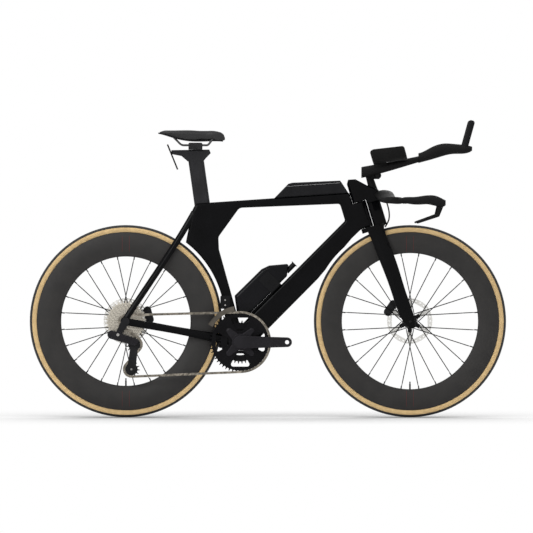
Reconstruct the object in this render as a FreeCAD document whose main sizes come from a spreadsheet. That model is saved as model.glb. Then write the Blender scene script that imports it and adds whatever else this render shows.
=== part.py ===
import FreeCAD, Part
import Sketcher
import math
import os
import re
from types import SimpleNamespace

# Time trial bicycle. X points forward, Y to the rider's left, Z up, in millimetres.
# The origin lies on the ground, half way between the axles, in the middle plane.

doc = FreeCAD.newDocument("time_trial_bike")
sheet = doc.addObject("Spreadsheet::Sheet", "Sizes")
dim = SimpleNamespace()
pieces = []


def add_sizes(table):
    """Writes a table of driving values into the sheet and reads each one back."""
    first_row = len(vars(dim)) + 1
    for row, (alias, value) in enumerate(table.items(), first_row):
        sheet.set(f"A{row}", alias)
        sheet.set(f"B{row}", str(value))
        sheet.setAlias(f"B{row}", alias)
    sheet.recompute()
    for alias in table:
        setattr(dim, alias, float(sheet.get(alias)))


def cells(expression):
    """Turns the sheet's names in an expression into references to its cells."""
    return re.sub(r"[a-z]\w+", r"Sizes.\g<0>", expression)


def value_of(expression):
    return float(sheet.evalExpression(cells(expression)))


def vec(x, y, z):
    return FreeCAD.Vector(x, y, z)


def node(label, shape):
    """A sub-part whose shape is worked out from the sheet's values."""
    piece = doc.addObject("Part::Feature", label)
    piece.Label = label
    piece.Shape = shape
    pieces.append(piece)
    return piece


def new_body(label):
    body = doc.addObject("PartDesign::Body", label)
    body.Label = label
    pieces.append(body)
    return body


def origin_feature(body, role):
    return [item for item in body.Origin.OriginFeatures if item.Role == role][0]


def sketch_on(body, role, name):
    sketch = body.newObject("Sketcher::SketchObject", name)
    sketch.AttachmentSupport = [(origin_feature(body, role), "")]
    sketch.MapMode = "FlatFace"
    return sketch


def bulged_edge(start, end, radius):
    """An arc from start to end that bulges to the right of the way it goes."""
    chord = end - start
    to_centre = math.sqrt(max(radius * radius - chord.Length * chord.Length / 4, 0))
    left = vec(-chord.y, chord.x, 0).normalize()
    centre = (start + end) * 0.5 + left * to_centre
    first = math.atan2(start.y - centre.y, start.x - centre.x)
    last = math.atan2(end.y - centre.y, end.x - centre.x)
    return Part.ArcOfCircle(Part.Circle(centre, vec(0, 0, 1), radius), first, last)


def trace(sketch, outline):
    """A closed outline of expressions: x, y and, for an arc to the next point, its radius."""
    corners = []
    for point in outline:
        corners.append(vec(value_of(point[0]), value_of(point[1]), 0))
    base = sketch.GeometryCount
    count = len(outline)
    for index, point in enumerate(outline):
        start = corners[index]
        end = corners[(index + 1) % count]
        if len(point) == 2:
            sketch.addGeometry(Part.LineSegment(start, end), False)
        else:
            sketch.addGeometry(bulged_edge(start, end, value_of(point[2])), False)
    for index in range(count):
        following = base + (index + 1) % count
        sketch.addConstraint(Sketcher.Constraint("Coincident", base + index, 2, following, 1))
    for index, point in enumerate(outline):
        bind(sketch, "DistanceX", (-1, 1, base + index, 1), corners[index].x, point[0])
        bind(sketch, "DistanceY", (-1, 1, base + index, 1), corners[index].y, point[1])
        if len(point) == 3:
            bind(sketch, "Radius", (base + index,), value_of(point[2]), point[2])


def bind(sketch, kind, place, value, expression):
    number = sketch.addConstraint(Sketcher.Constraint(kind, *place, value))
    sketch.setExpression(f"Constraints[{number}]", cells(expression))


def add_circle(sketch, radius, x="0", y="0"):
    values = [value_of(item) for item in (radius, x, y)]
    circle = Part.Circle(vec(values[1], values[2], 0), vec(0, 0, 1), values[0])
    number = sketch.addGeometry(circle, False)
    bind(sketch, "Radius", (number,), values[0], radius)
    bind(sketch, "DistanceX", (-1, 1, number, 3), values[1], x)
    bind(sketch, "DistanceY", (-1, 1, number, 3), values[2], y)


def put(piece, x, y, z):
    """Binds a sub-part's place to the sheet."""
    for axis, expression in zip("xyz", (x, y, z)):
        piece.setExpression(f"Placement.Base.{axis}", cells(expression))


def turned_body(label, *outlines):
    """A solid of revolution about its own Y axis; outlines are radius, distance along Y."""
    body = new_body(label)
    sketch = sketch_on(body, "XY_Plane", label + "_section")
    for outline in outlines:
        trace(sketch, outline)
    turn = body.newObject("PartDesign::Revolution", label + "_turn")
    turn.Profile = sketch
    turn.ReferenceAxis = (sketch, ["V_Axis"])
    turn.Angle = 360
    return body


def padded_body(label, thickness):
    """A flat body made of circles, pushed out evenly to both sides of its middle plane."""
    body = new_body(label)
    sketch = sketch_on(body, "XZ_Plane", label + "_outline")
    pad = body.newObject("PartDesign::Pad", label + "_pad")
    pad.Profile = sketch
    pad.SideType = "Symmetric"
    pad.setExpression("Length", cells(thickness))
    return body, sketch


def window_ring(body, name, outline, count):
    """Cuts an outline through a flat body and repeats it around the body's Y axis."""
    sketch = sketch_on(body, "XZ_Plane", name + "_outline")
    if isinstance(outline, dict):
        add_circle(sketch, **outline)
    else:
        trace(sketch, outline)
    pocket = body.newObject("PartDesign::Pocket", name)
    pocket.Profile = sketch
    pocket.Type = "ThroughAll"
    pocket.SideType = "Symmetric"
    doc.recompute()
    pattern = body.newObject("PartDesign::PolarPattern", name + "_ring")
    pattern.Originals = [pocket]
    pattern.Axis = (origin_feature(body, "Y_Axis"), [""])
    pattern.Angle = 360
    pattern.setExpression("Occurrences", cells(count))
    body.Tip = pattern


def rounded_wire(points):
    """A closed wire through (point, radius) corners, each corner rounded by its radius."""
    edges = []
    count = len(points)
    starts = []
    ends = []
    mids = []
    for index, (corner, radius) in enumerate(points):
        back = (points[index - 1][0] - corner).normalize()
        ahead = (points[(index + 1) % count][0] - corner).normalize()
        half = back.getAngle(ahead) / 2
        reach = radius / math.tan(half)
        inward = (back + ahead).normalize()
        starts.append(corner + back * reach)
        ends.append(corner + ahead * reach)
        mids.append(corner + inward * (radius / math.sin(half) - radius))
    for index, (corner, radius) in enumerate(points):
        if radius > 0:
            edges.append(Part.Arc(starts[index], mids[index], ends[index]).toShape())
        edges.append(Part.LineSegment(ends[index], starts[(index + 1) % count]).toShape())
    return Part.Wire(edges)


def slab(points, right, left):
    """A flat piece in the side view, from Y = right to Y = left; points are (x, z, radius)."""
    corners = [(vec(x, right, z), radius) for x, z, radius in points]
    return Part.Face(rounded_wire(corners)).extrude(vec(0, left - right, 0))


def rounded_slab(points, half_width, edge_radius):
    """A slab about the middle plane with its long side edges rounded."""
    solid = slab(points, -half_width, half_width)
    return round_sides(solid, half_width, edge_radius)


def side_face(solid, side, slack):
    """The flat face of a slab that lies at Y = side."""
    for face in solid.Faces:
        if face.BoundBox.YLength < slack and abs(face.CenterOfMass.y - side) < slack:
            return face


def round_sides(solid, half_width, edge_radius):
    """Rounds both flat faces' edges, the holes first and then the outside."""
    for side in (half_width, -half_width):
        for outside in (False, True):
            face = side_face(solid, side, dim.fit_slack)
            loops = [wire for wire in face.Wires if wire.isSame(face.OuterWire) == outside]
            edges = [edge for wire in loops for edge in wire.Edges]
            if edges:
                solid = solid.makeFillet(edge_radius, edges).Solids[0]
    return solid


def oval(centre, half_long, half_short):
    """An elliptical wire; the two vectors are its half axes, the longer one first."""
    return Part.Wire([Part.Ellipse(centre + half_long, centre + half_short, centre).toShape()])


def oval_loft(sections):
    return Part.makeLoft([oval(*section) for section in sections], True, False)


def rod(start, end, radius):
    return Part.makeCylinder(radius, (end - start).Length, start, end - start)


def disc(x, y, z, radius, width):
    """A cylinder about Y that starts at y and is width long."""
    return Part.makeCylinder(radius, width, vec(x, y, z), vec(0, 1, 0))


def mirrored(shape):
    """The same piece on the other side of the middle plane."""
    return shape.mirror(vec(0, 0, 0), vec(0, 1, 0))


def joined(shapes):
    return shapes[0].fuse(shapes[1:]).removeSplitter()


def hose(points, radius, bend_share):
    """A round hose along straight runs joined by the largest tangent arcs they allow."""
    edges = []
    last = points[0]
    for index in range(1, len(points) - 1):
        corner = points[index]
        back = points[index - 1] - corner
        ahead = points[index + 1] - corner
        half = back.getAngle(ahead) / 2
        reach = bend_share * min(back.Length, ahead.Length)
        back.normalize()
        ahead.normalize()
        bend = reach * math.tan(half)
        print("hose bend radius", round(bend, 1))
        start = corner + back * reach
        end = corner + ahead * reach
        mid = corner + (back + ahead).normalize() * (bend / math.sin(half) - bend)
        edges.append(Part.LineSegment(last, start).toShape())
        edges.append(Part.Arc(start, mid, end).toShape())
        last = end
    edges.append(Part.LineSegment(last, points[-1]).toShape())
    path = Part.Wire(edges)
    ring = Part.Wire([Part.Circle(points[0], points[1] - points[0], radius).toShape()])
    solid = path.makePipeShell([ring], True, True)
    whole = math.pi * radius * radius * path.Length
    print("hose volume against section times length", round(solid.Volume / whole, 4))
    return solid


# Layout: wheels, bottom bracket and steering axis
layout_sizes = {
    "wheelbase": 1002,
    "tyre_radius": 339,
    "bb_drop": 73,
    "chainstay_length": 410,
    "fork_rake": 45,
    "head_angle_deg": 73,
    "running_gap": 0.4,
    "seat_gap": 0.1,
    "press_depth": 0.3,
    "fit_slack": 0.001,
    "cut_overrun": 60,
    "tyre_clearance": 10,
}
add_sizes(layout_sizes)

head_angle = math.radians(dim.head_angle_deg)
rear_x = -dim.wheelbase / 2
front_x = dim.wheelbase / 2
axle_z = dim.tyre_radius
bb_z = axle_z - dim.bb_drop
bb_x = rear_x + math.sqrt(dim.chainstay_length ** 2 - dim.bb_drop ** 2)
steer_foot = vec(
    front_x - dim.fork_rake * math.sin(head_angle),
    0,
    axle_z - dim.fork_rake * math.cos(head_angle),
)
steer = FreeCAD.Placement(steer_foot, FreeCAD.Rotation(vec(0, 1, 0), dim.head_angle_deg - 90))


def steer_point(ahead, side, up):
    """A point given ahead of, beside and up along the steering axis."""
    return steer.multVec(vec(ahead, side, up))


def on_steering(shape):
    """Places a shape made about its own Z axis onto the steering axis."""
    shape.Placement = steer.multiply(shape.Placement)
    return shape


# Wheels
wheel_sizes = {
    "tyre_width": 28,
    "tyre_wall": 2.2,
    "rim_outer_radius": 314,
    "rim_bed_width": 21,
    "rim_wall": 2,
    "rim_side_radius": 190,
    "rim_nose_half": 6,
    "rim_nose_rise": 4,
    "rear_rim_depth": 86,
    "front_rim_depth": 74,
    "axle_radius": 6,
    "axle_head_radius": 9,
    "axle_head_length": 4,
    "rear_hub_width": 142,
    "front_hub_width": 100,
    "dropout_thickness": 8,
    "hub_flange_radius": 24,
    "hub_flange_thickness": 3,
    "hub_shell_radius": 13,
    "hub_cap_radius": 10,
    "rotor_seat_radius": 17,
    "rotor_lip": 3,
    "rear_right_flange": 19,
    "rear_left_flange": 33,
    "front_right_flange": 32,
    "front_left_flange": 20,
    "rear_rotor_side": 57,
    "front_rotor_side": 37,
    "rotor_radius": 80,
    "rotor_thickness": 1.8,
    "rotor_hole_radius": 2.6,
    "rotor_hole_circle": 73,
    "rotor_window_foot": 25,
    "rotor_window_foot_half": 6.5,
    "rotor_window_head": 63,
    "rotor_window_head_half": 26,
    "rotor_window_count": 6,
    "rotor_hole_count": 30,
    "spoke_radius": 1,
    "spoke_circle": 21,
    "spoke_inset": 2,
    "spoke_count": 24,
    "spoke_lead_deg": 62,
}
add_sizes(wheel_sizes)


def make_tyre(label, x):
    """A round-backed tyre, open towards the rim, with its two feet on the rim's bed."""
    outside = doc.addObject("Part::Torus", label + "_outside")
    outside.setExpression("Radius1", cells("tyre_radius - tyre_width / 2"))
    outside.setExpression("Radius2", cells("tyre_width / 2"))
    inside = doc.addObject("Part::Torus", label + "_inside")
    inside.setExpression("Radius1", cells("tyre_radius - tyre_width / 2"))
    inside.setExpression("Radius2", cells("tyre_width / 2 - tyre_wall"))
    bed = doc.addObject("Part::Cylinder", label + "_bed")
    bed.setExpression("Radius", cells("rim_outer_radius"))
    bed.setExpression("Height", cells("2 * tyre_width"))
    bed.setExpression("Placement.Base.z", cells("-tyre_width"))
    casing = doc.addObject("Part::Cut", label + "_casing")
    casing.Base = outside
    casing.Tool = inside
    tyre = doc.addObject("Part::Cut", label)
    tyre.Base = casing
    tyre.Tool = bed
    tyre.Label = label
    tyre.Placement = FreeCAD.Placement(vec(0, 0, 0), FreeCAD.Rotation(vec(1, 0, 0), 90))
    put(tyre, x, "0", "tyre_radius")
    pieces.append(tyre)


def make_rim(label, x, depth):
    """A deep hollow rim: bulged sides, a rounded nose and a flat bed for the tyre."""
    nose = f"rim_outer_radius - {depth} + rim_nose_rise"
    nose_round = "(rim_nose_half ^ 2 + rim_nose_rise ^ 2) / (2 * rim_nose_rise)"
    inner_half = "(rim_nose_half - rim_wall)"
    inner_rise = "(rim_nose_rise - rim_wall / 2)"
    inner_round = f"({inner_half} ^ 2 + {inner_rise} ^ 2) / (2 * {inner_rise})"
    outer = [
        ("rim_outer_radius", "-rim_bed_width / 2"),
        ("rim_outer_radius", "rim_bed_width / 2", "rim_side_radius"),
        (nose, "rim_nose_half", nose_round),
        (nose, "-rim_nose_half", "rim_side_radius"),
    ]
    cavity = [
        ("rim_outer_radius - rim_wall", "rim_wall - rim_bed_width / 2"),
        ("rim_outer_radius - rim_wall", "rim_bed_width / 2 - rim_wall", "rim_side_radius"),
        (nose + " + rim_wall", inner_half, inner_round),
        (nose + " + rim_wall", "-" + inner_half, "rim_side_radius"),
    ]
    put(turned_body(label, outer, cavity), x, "0", "tyre_radius")


def make_hub(wheel, x, right_end):
    """Two flanges on a shell, with the rotor's seat on the left and the freehub's on the rear hub's right."""
    width = f"{wheel}_hub_width"
    right_flange = f"{wheel}_right_flange"
    left_flange = f"{wheel}_left_flange"
    rotor_side = f"{wheel}_rotor_side"
    bore = "axle_radius + running_gap"
    half = "hub_flange_thickness / 2"
    seat_end = f"{rotor_side} + rotor_lip"
    outline = [(bore, f"-{right_flange} - {half}")]
    if right_end:
        outline = [
            (bore, f"running_gap - {width} / 2"),
            ("hub_cap_radius", f"running_gap - {width} / 2"),
            ("hub_cap_radius", f"-{right_flange} - {half}"),
        ]
    outline += [
        ("hub_flange_radius", f"-{right_flange} - {half}"),
        ("hub_flange_radius", f"{half} - {right_flange}"),
        ("hub_shell_radius", f"{half} - {right_flange}"),
        ("hub_shell_radius", f"{left_flange} - {half}"),
        ("hub_flange_radius", f"{left_flange} - {half}"),
        ("hub_flange_radius", f"{left_flange} + {half}"),
        ("rotor_seat_radius", f"{left_flange} + {half}"),
        ("rotor_seat_radius", seat_end),
        ("hub_cap_radius", seat_end),
        ("hub_cap_radius", f"{width} / 2 - running_gap"),
        (bore, f"{width} / 2 - running_gap"),
    ]
    put(turned_body(f"{wheel}_hub", outline), x, "0", "tyre_radius")


def make_rotor(label, x, side):
    body, sketch = padded_body(label, "rotor_thickness")
    add_circle(sketch, "rotor_radius")
    add_circle(sketch, "rotor_seat_radius + seat_gap")
    doc.recompute()
    window = [
        ("rotor_window_foot", "-rotor_window_foot_half"),
        ("rotor_window_head", "-rotor_window_head_half"),
        ("rotor_window_head", "rotor_window_head_half"),
        ("rotor_window_foot", "rotor_window_foot_half"),
    ]
    window_ring(body, label + "_window", window, "rotor_window_count")
    hole = {"radius": "rotor_hole_radius", "x": "rotor_hole_circle"}
    window_ring(body, label + "_hole", hole, "rotor_hole_count")
    put(body, x, side, "tyre_radius")


def make_spokes(label, x, right_flange, left_flange, rim_depth):
    """Crossed spokes: every second one on each flange, leading and trailing in turn."""
    reach = dim.rim_outer_radius - rim_depth + dim.spoke_inset
    spokes = []
    for index in range(int(dim.spoke_count)):
        angle = (index + 0.5) * 2 * math.pi / dim.spoke_count
        lead = 1 if index // 2 % 2 == 0 else -1
        flange = -right_flange if index % 2 == 0 else left_flange
        foot = angle + lead * math.radians(dim.spoke_lead_deg)
        face = dim.hub_flange_thickness / 2 + dim.spoke_radius - dim.press_depth
        start = vec(
            x + dim.spoke_circle * math.cos(foot),
            flange + lead * face,
            axle_z + dim.spoke_circle * math.sin(foot),
        )
        end = vec(x + reach * math.cos(angle), 0, axle_z + reach * math.sin(angle))
        spokes.append(rod(start, end, dim.spoke_radius))
    node(label, Part.makeCompound(spokes))


def make_axle(label, x, width):
    half = f"({width} / 2 + dropout_thickness)"
    outline = [
        ("0", f"-{half}"),
        ("axle_radius", f"-{half}"),
        ("axle_radius", half),
        ("axle_head_radius", half),
        ("axle_head_radius", f"{half} + axle_head_length"),
        ("0", f"{half} + axle_head_length"),
    ]
    put(turned_body(label, outline), x, "0", "tyre_radius")


REAR = "-wheelbase / 2"
FRONT = "wheelbase / 2"
make_tyre("rear_tyre", REAR)
make_tyre("front_tyre", FRONT)
make_rim("rear_rim", REAR, "rear_rim_depth")
make_rim("front_rim", FRONT, "front_rim_depth")
make_hub("rear", REAR, right_end=False)
make_hub("front", FRONT, right_end=True)
make_rotor("rear_rotor", REAR, "rear_rotor_side")
make_rotor("front_rotor", FRONT, "front_rotor_side")
make_spokes("rear_spokes", rear_x, dim.rear_right_flange, dim.rear_left_flange, dim.rear_rim_depth)
make_spokes("front_spokes", front_x, dim.front_right_flange, dim.front_left_flange, dim.front_rim_depth)
make_axle("rear_thru_axle", REAR, "rear_hub_width")
make_axle("front_thru_axle", FRONT, "front_hub_width")


# Frame
frame_sizes = {
    "frame_width": 42,
    "frame_edge_radius": 10,
    "down_tube_meet_rise": 5.7,
    "down_tube_depth": 76,
    "down_tube_toe_run": 187,
    "seat_cluster_setback": 102,
    "seat_cluster_height": 492,
    "collar_depth": 67,
    "collar_drop": 27,
    "collar_shoulder": 12,
    "collar_slope": 4,
    "top_tube_front_height": 525,
    "top_tube_rear_depth": 26,
    "top_tube_front_depth": 37,
    "top_tube_root_setback": 3,
    "seat_crook_setback": 77,
    "seat_crook_height": 370,
    "seat_lower_setback": 75,
    "seat_lower_height": 326,
    "seat_foot_height": 56,
    "seat_rear_setback": 193,
    "seat_rear_height": 346,
    "triangle_corner_radius": 22,
    "triangle_head_radius": 10,
    "head_tube_radius": 20,
    "head_top": 455,
    "head_bottom": 360,
    "window_front_height": 62,
    "head_toe_setback": 65,
    "head_toe_drop": 20,
    "stem_rear_radius": 27,
    "crown_rear_radius": 25,
    "bb_shell_radius": 25,
    "bb_shell_width": 86,
    "heel_drop_share": 0.75,
    "heel_reach_share": 1.5,
    "bb_lobe": 40,
    "bb_cup_radius": 18.5,
    "bb_cup_depth": 14,
    "bb_cup_flange": 2.5,
    "spindle_radius": 12,
    "bearing_radius": 16.5,
    "bearing_height": 7,
    "steerer_radius": 10,
    "post_chord": 55,
    "post_width": 24,
    "post_tilt_deg": 8,
    "post_setback": 135,
    "post_socket_depth": 122,
    "post_insertion": 80,
    "post_round_share": 0.5,
}
add_sizes(frame_sizes)

half_frame = dim.frame_width / 2
meet_up = dim.head_bottom + dim.down_tube_meet_rise
tube_meet = steer_point(-dim.head_toe_setback, 0, meet_up) - vec(bb_x, 0, bb_z)
tube_angle = math.degrees(math.atan2(tube_meet.z, tube_meet.x))
down_tube = FreeCAD.Placement(vec(bb_x, 0, bb_z), FreeCAD.Rotation(vec(0, 1, 0), -tube_angle))
cluster_x = bb_x - dim.seat_cluster_setback
cluster_z = bb_z + dim.seat_cluster_height
notch_behind = dim.stem_rear_radius + dim.running_gap


def tube_point(along, up):
    """A point in the side view, along the down tube from the bottom bracket and up from its axis."""
    point = down_tube.multVec(vec(along, 0, up))
    return point.x, point.z


def axis_point(ahead, up):
    """A point in the side view, ahead of the steering axis and up along it."""
    point = steer_point(ahead, 0, up)
    return point.x, point.z


def height_on_axis(ahead, z):
    """How far up the steering axis a line parallel to it reaches the height z."""
    return (z - steer_foot.z - ahead * math.cos(head_angle)) / math.sin(head_angle)


top_front_z = bb_z + dim.top_tube_front_height
notch_top = axis_point(-notch_behind, height_on_axis(-notch_behind, top_front_z))
collar_rear = (cluster_x - dim.collar_depth, cluster_z - dim.collar_drop)
collar_top = (collar_rear[0] + dim.collar_shoulder, cluster_z - dim.collar_slope)
top_slope = (notch_top[1] - collar_top[1]) / (notch_top[0] - collar_top[0])


def top_line(x):
    """Height of the top tube's upper edge."""
    return collar_top[1] + top_slope * (x - collar_top[0])


post_up = vec(-math.sin(math.radians(dim.post_tilt_deg)), 0, math.cos(math.radians(dim.post_tilt_deg)))
post_ahead = vec(post_up.z, 0, -post_up.x)
post_mouth = vec(bb_x - dim.post_setback, 0, cluster_z)


def post_section(gap):
    """The seatpost's rounded section, square to the post, grown by a gap."""
    nose = post_ahead * (dim.post_chord / 2 + gap)
    side = vec(0, dim.post_width / 2 + gap, 0)
    belly = nose * dim.post_round_share
    front = Part.Arc(belly + side, nose, belly - side).toShape()
    rear = Part.Arc(-belly - side, -nose, -belly + side).toShape()
    right = Part.LineSegment(belly - side, -belly - side).toShape()
    left = Part.LineSegment(-belly + side, belly + side).toShape()
    return Part.Face(Part.Wire([front, right, rear, left]))


def main_frame_shape():
    edge = dim.frame_edge_radius
    lower = -dim.down_tube_depth / 2
    upper = dim.down_tube_depth / 2
    lobe = dim.bb_lobe
    toe = axis_point(-dim.head_toe_setback, dim.head_bottom - dim.head_toe_drop)
    toe_along = down_tube.inverse().multVec(vec(toe[0], 0, toe[1])).x
    outline = [
        (*collar_rear, edge),
        (*collar_top, edge),
        (*notch_top, 0),
        (*axis_point(-notch_behind, dim.head_top), 0),
        (*axis_point(dim.head_tube_radius, dim.head_top), 0),
        (*axis_point(dim.head_tube_radius, dim.head_bottom), 0),
        (*axis_point(-dim.crown_rear_radius - dim.running_gap, dim.head_bottom), 0),
        (*toe, 0),
        (*tube_point(toe_along - dim.down_tube_toe_run, lower), lobe),
        (*tube_point(0, lower), lobe / 2),
        (bb_x - lobe, bb_z - lobe * dim.heel_drop_share, lobe / 2),
        (bb_x - lobe * dim.heel_reach_share, bb_z + lobe, 0),
        (bb_x - dim.seat_rear_setback, bb_z + dim.seat_rear_height, 0),
    ]
    root_x = bb_x - dim.top_tube_root_setback
    root = vec(root_x, 0, top_line(root_x) - dim.top_tube_rear_depth)
    brow, chin = window_front(root, vec(notch_top[0], 0, notch_top[1] - dim.top_tube_front_depth))
    corner = dim.triangle_corner_radius
    triangle = [
        (root.x, root.z, corner),
        (brow.x, brow.z, dim.triangle_head_radius),
        (chin.x, chin.z, dim.triangle_head_radius),
        (bb_x, bb_z + dim.seat_foot_height, dim.triangle_head_radius),
        (bb_x - dim.seat_lower_setback, bb_z + dim.seat_lower_height, corner),
        (bb_x - dim.seat_crook_setback, bb_z + dim.seat_crook_height, corner),
    ]
    over = half_frame + dim.cut_overrun
    swept = dim.tyre_radius + dim.tyre_clearance
    solid = rounded_slab(outline, half_frame, edge)
    solid = solid.common(opened_plate(slab(triangle, -over, over)))
    for x in (rear_x, front_x):
        solid = solid.common(opened_plate(disc(x, -over, axle_z, swept, 2 * over)))
    return trim_head(solid.Solids[0])


def window_front(root, front):
    """The window's front corners, where the top tube's underside and the down tube are a set height apart."""
    up = steer.Rotation.multVec(vec(0, 0, 1))
    under = root - front
    back = down_tube.Rotation.multVec(vec(-1, 0, 0))
    foot = down_tube.multVec(vec(0, 0, dim.down_tube_depth / 2))

    def cross(first, second):
        return first.x * second.z - first.z * second.x

    apex = foot + back * (cross(foot - front, under) / cross(under, back))
    spread = cross(under, back) / dim.window_front_height
    return apex + under * (cross(up, back) / spread), apex + back * (cross(up, under) / spread)


def opened_plate(tool):
    """A plate as thick as the frame, much larger than it, with one round-edged opening."""
    size = dim.wheelbase
    plate = Part.makeBox(2 * size, dim.frame_width, 2 * size, vec(-size, -half_frame, -size)).cut(tool)
    for side in (half_frame, -half_frame):
        face = side_face(plate, side, dim.fit_slack)
        edges = [edge for wire in face.Wires if not wire.isSame(face.OuterWire) for edge in wire.Edges]
        plate = plate.makeFillet(dim.frame_edge_radius, edges).Solids[0]
    return plate


def trim_head(solid):
    """Rounds the head's front about the steering axis, adds the bottom bracket shell and bores both."""
    length = dim.head_top - dim.head_bottom
    block = Part.makeBox(
        dim.cut_overrun, 2 * dim.cut_overrun, length + dim.cut_overrun,
        vec(0, -dim.cut_overrun, dim.head_bottom - dim.cut_overrun / 2),
    )
    post = Part.makeCylinder(dim.head_tube_radius, 2 * dim.head_top)
    solid = solid.cut(on_steering(block.cut(post)))
    half_shell = dim.bb_shell_width / 2
    solid = solid.fuse(disc(bb_x, -half_shell, bb_z, dim.bb_shell_radius, dim.bb_shell_width))
    bore = Part.makeCylinder(dim.bearing_radius, 2 * length, vec(0, 0, dim.head_bottom - length / 2))
    solid = solid.cut(on_steering(bore))
    over = half_shell + dim.cut_overrun
    solid = solid.cut(disc(bb_x, -over, bb_z, dim.bb_cup_radius, 2 * over))
    socket = post_section(dim.running_gap)
    socket.translate(post_mouth - post_up * dim.post_socket_depth)
    return solid.cut(socket.extrude(post_up * (dim.post_socket_depth + dim.cut_overrun)))


main_frame = main_frame_shape()
node("main_frame", main_frame)


# Stays
stay_sizes = {
    "stay_root_setback": 22,
    "stay_root_side": 24,
    "stay_root_height": 38,
    "stay_waist_side": 31,
    "stay_bow_side": 48,
    "stay_hip_side": 70,
    "stay_tip_side": 76,
    "stay_depth": 25,
    "stay_waist_depth": 32,
    "stay_thickness": 15,
    "stay_tip_thickness": 10,
    "stay_waist_reach": 110,
    "stay_bow_reach": 203,
    "stay_hip_reach": 71,
    "dropout_radius": 17,
    "seatstay_chord": 26,
    "seatstay_thickness": 13,
    "seatstay_tip_thickness": 10,
    "seatstay_root_drop": 30,
    "seatstay_root_ahead": 10,
    "seatstay_root_side": 13,
    "seatstay_neck_drop": 139,
    "seatstay_neck_back": 122,
    "seatstay_neck_side": 24,
    "seatstay_hip_rise": 75,
    "seatstay_hip_side": 67,
    "seatstay_tip_rise": 8,
}
add_sizes(stay_sizes)


def biggest(shape):
    return max(shape.Solids, key=lambda solid: solid.Volume)


def stay_line(x):
    """Height of the chainstay's middle between the bottom bracket and the rear axle."""
    return bb_z + (axle_z - bb_z) * (bb_x - x) / (bb_x - rear_x)


def chainstay_shape():
    """The left chainstay: it leaves the shell, bows out around tyre and rotor, and ends in its dropout."""
    stations = [
        (bb_x - dim.stay_root_setback, dim.stay_root_side, dim.stay_root_height, dim.stay_thickness),
        (bb_x - dim.stay_waist_reach, dim.stay_waist_side, dim.stay_waist_depth, dim.stay_thickness),
        (bb_x - dim.stay_bow_reach, dim.stay_bow_side, dim.stay_depth, dim.stay_thickness),
        (rear_x + dim.stay_hip_reach, dim.stay_hip_side, dim.stay_depth, dim.stay_tip_thickness),
        (rear_x, dim.stay_tip_side, dim.stay_depth, dim.stay_tip_thickness),
    ]
    sections = []
    for x, side, depth, thickness in stations:
        centre = vec(x, side, stay_line(x))
        sections.append((centre, vec(0, 0, depth / 2), vec(0, thickness / 2, 0)))
    inner = dim.rear_hub_width / 2
    dropout = disc(rear_x, inner, axle_z, dim.dropout_radius, dim.dropout_thickness)
    solid = joined([oval_loft(sections), dropout])
    clear = disc(rear_x, 0, axle_z, dim.stay_hip_reach, inner)
    hole = disc(rear_x, 0, axle_z, dim.axle_radius + dim.seat_gap, 2 * inner)
    face = disc(rear_x, inner + dim.dropout_thickness, axle_z, dim.dropout_radius, dim.cut_overrun)
    return solid.cut(clear).cut(hole).cut(face).cut(main_frame)


def seatstay_shape(chainstay):
    """The left seatstay, from the seat tube's rear edge to the dropout."""
    root_x = collar_rear[0] + dim.seatstay_root_ahead
    root = (root_x, dim.seatstay_root_side, cluster_z - dim.seatstay_root_drop)
    neck = (cluster_x - dim.seatstay_neck_back, dim.seatstay_neck_side, cluster_z - dim.seatstay_neck_drop)
    tip_z = axle_z + dim.seatstay_tip_rise
    hip_z = axle_z + dim.seatstay_hip_rise
    hip_x = rear_x + (neck[0] - rear_x) * (hip_z - tip_z) / (neck[2] - tip_z)
    hip = (hip_x, dim.seatstay_hip_side, hip_z)
    tip = (rear_x, dim.stay_tip_side, tip_z)
    sections = []
    for place in (root, neck, hip, tip):
        width = dim.seatstay_thickness if place in (root, neck) else dim.seatstay_tip_thickness
        sections.append((vec(*place), vec(dim.seatstay_chord / 2, 0, 0), vec(0, width / 2, 0)))
    inner = dim.rear_hub_width / 2
    clear = disc(rear_x, 0, axle_z, dim.stay_hip_reach, inner)
    solid = oval_loft(sections).cut(clear)
    face = disc(rear_x, inner + dim.dropout_thickness, axle_z, dim.dropout_radius, dim.cut_overrun)
    return solid.cut(face).cut(main_frame).cut(chainstay)


left_chainstay = biggest(chainstay_shape())
left_seatstay = biggest(seatstay_shape(left_chainstay))
node("left_chainstay", left_chainstay)
node("right_chainstay", mirrored(left_chainstay))
node("left_seatstay", left_seatstay)
node("right_seatstay", mirrored(left_seatstay))


# Bearings of the frame
def bottom_bracket_shape():
    """Two pressed-in cups, each with an outer flange."""
    end = dim.bb_shell_width / 2
    cup = disc(bb_x, end - dim.bb_cup_depth, bb_z, dim.bb_cup_radius - dim.seat_gap, dim.bb_cup_depth)
    flange = disc(bb_x, end, bb_z, dim.bb_shell_radius - dim.bb_cup_flange, dim.bb_cup_flange)
    bore = disc(bb_x, 0, bb_z, dim.spindle_radius + dim.running_gap, 2 * end)
    left = cup.fuse(flange).cut(bore)
    return Part.makeCompound([left, mirrored(left)])


def headset_shape():
    """Upper and lower steering bearings."""
    rings = []
    for foot in (dim.head_bottom, dim.head_top - dim.bearing_height):
        ring = Part.makeCylinder(dim.bearing_radius - dim.seat_gap, dim.bearing_height, vec(0, 0, foot))
        bore = Part.makeCylinder(dim.steerer_radius + dim.running_gap, 2 * dim.head_top)
        rings.append(on_steering(ring.cut(bore)))
    return Part.makeCompound(rings)


node("bottom_bracket", bottom_bracket_shape())
node("headset_bearings", headset_shape())


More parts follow.
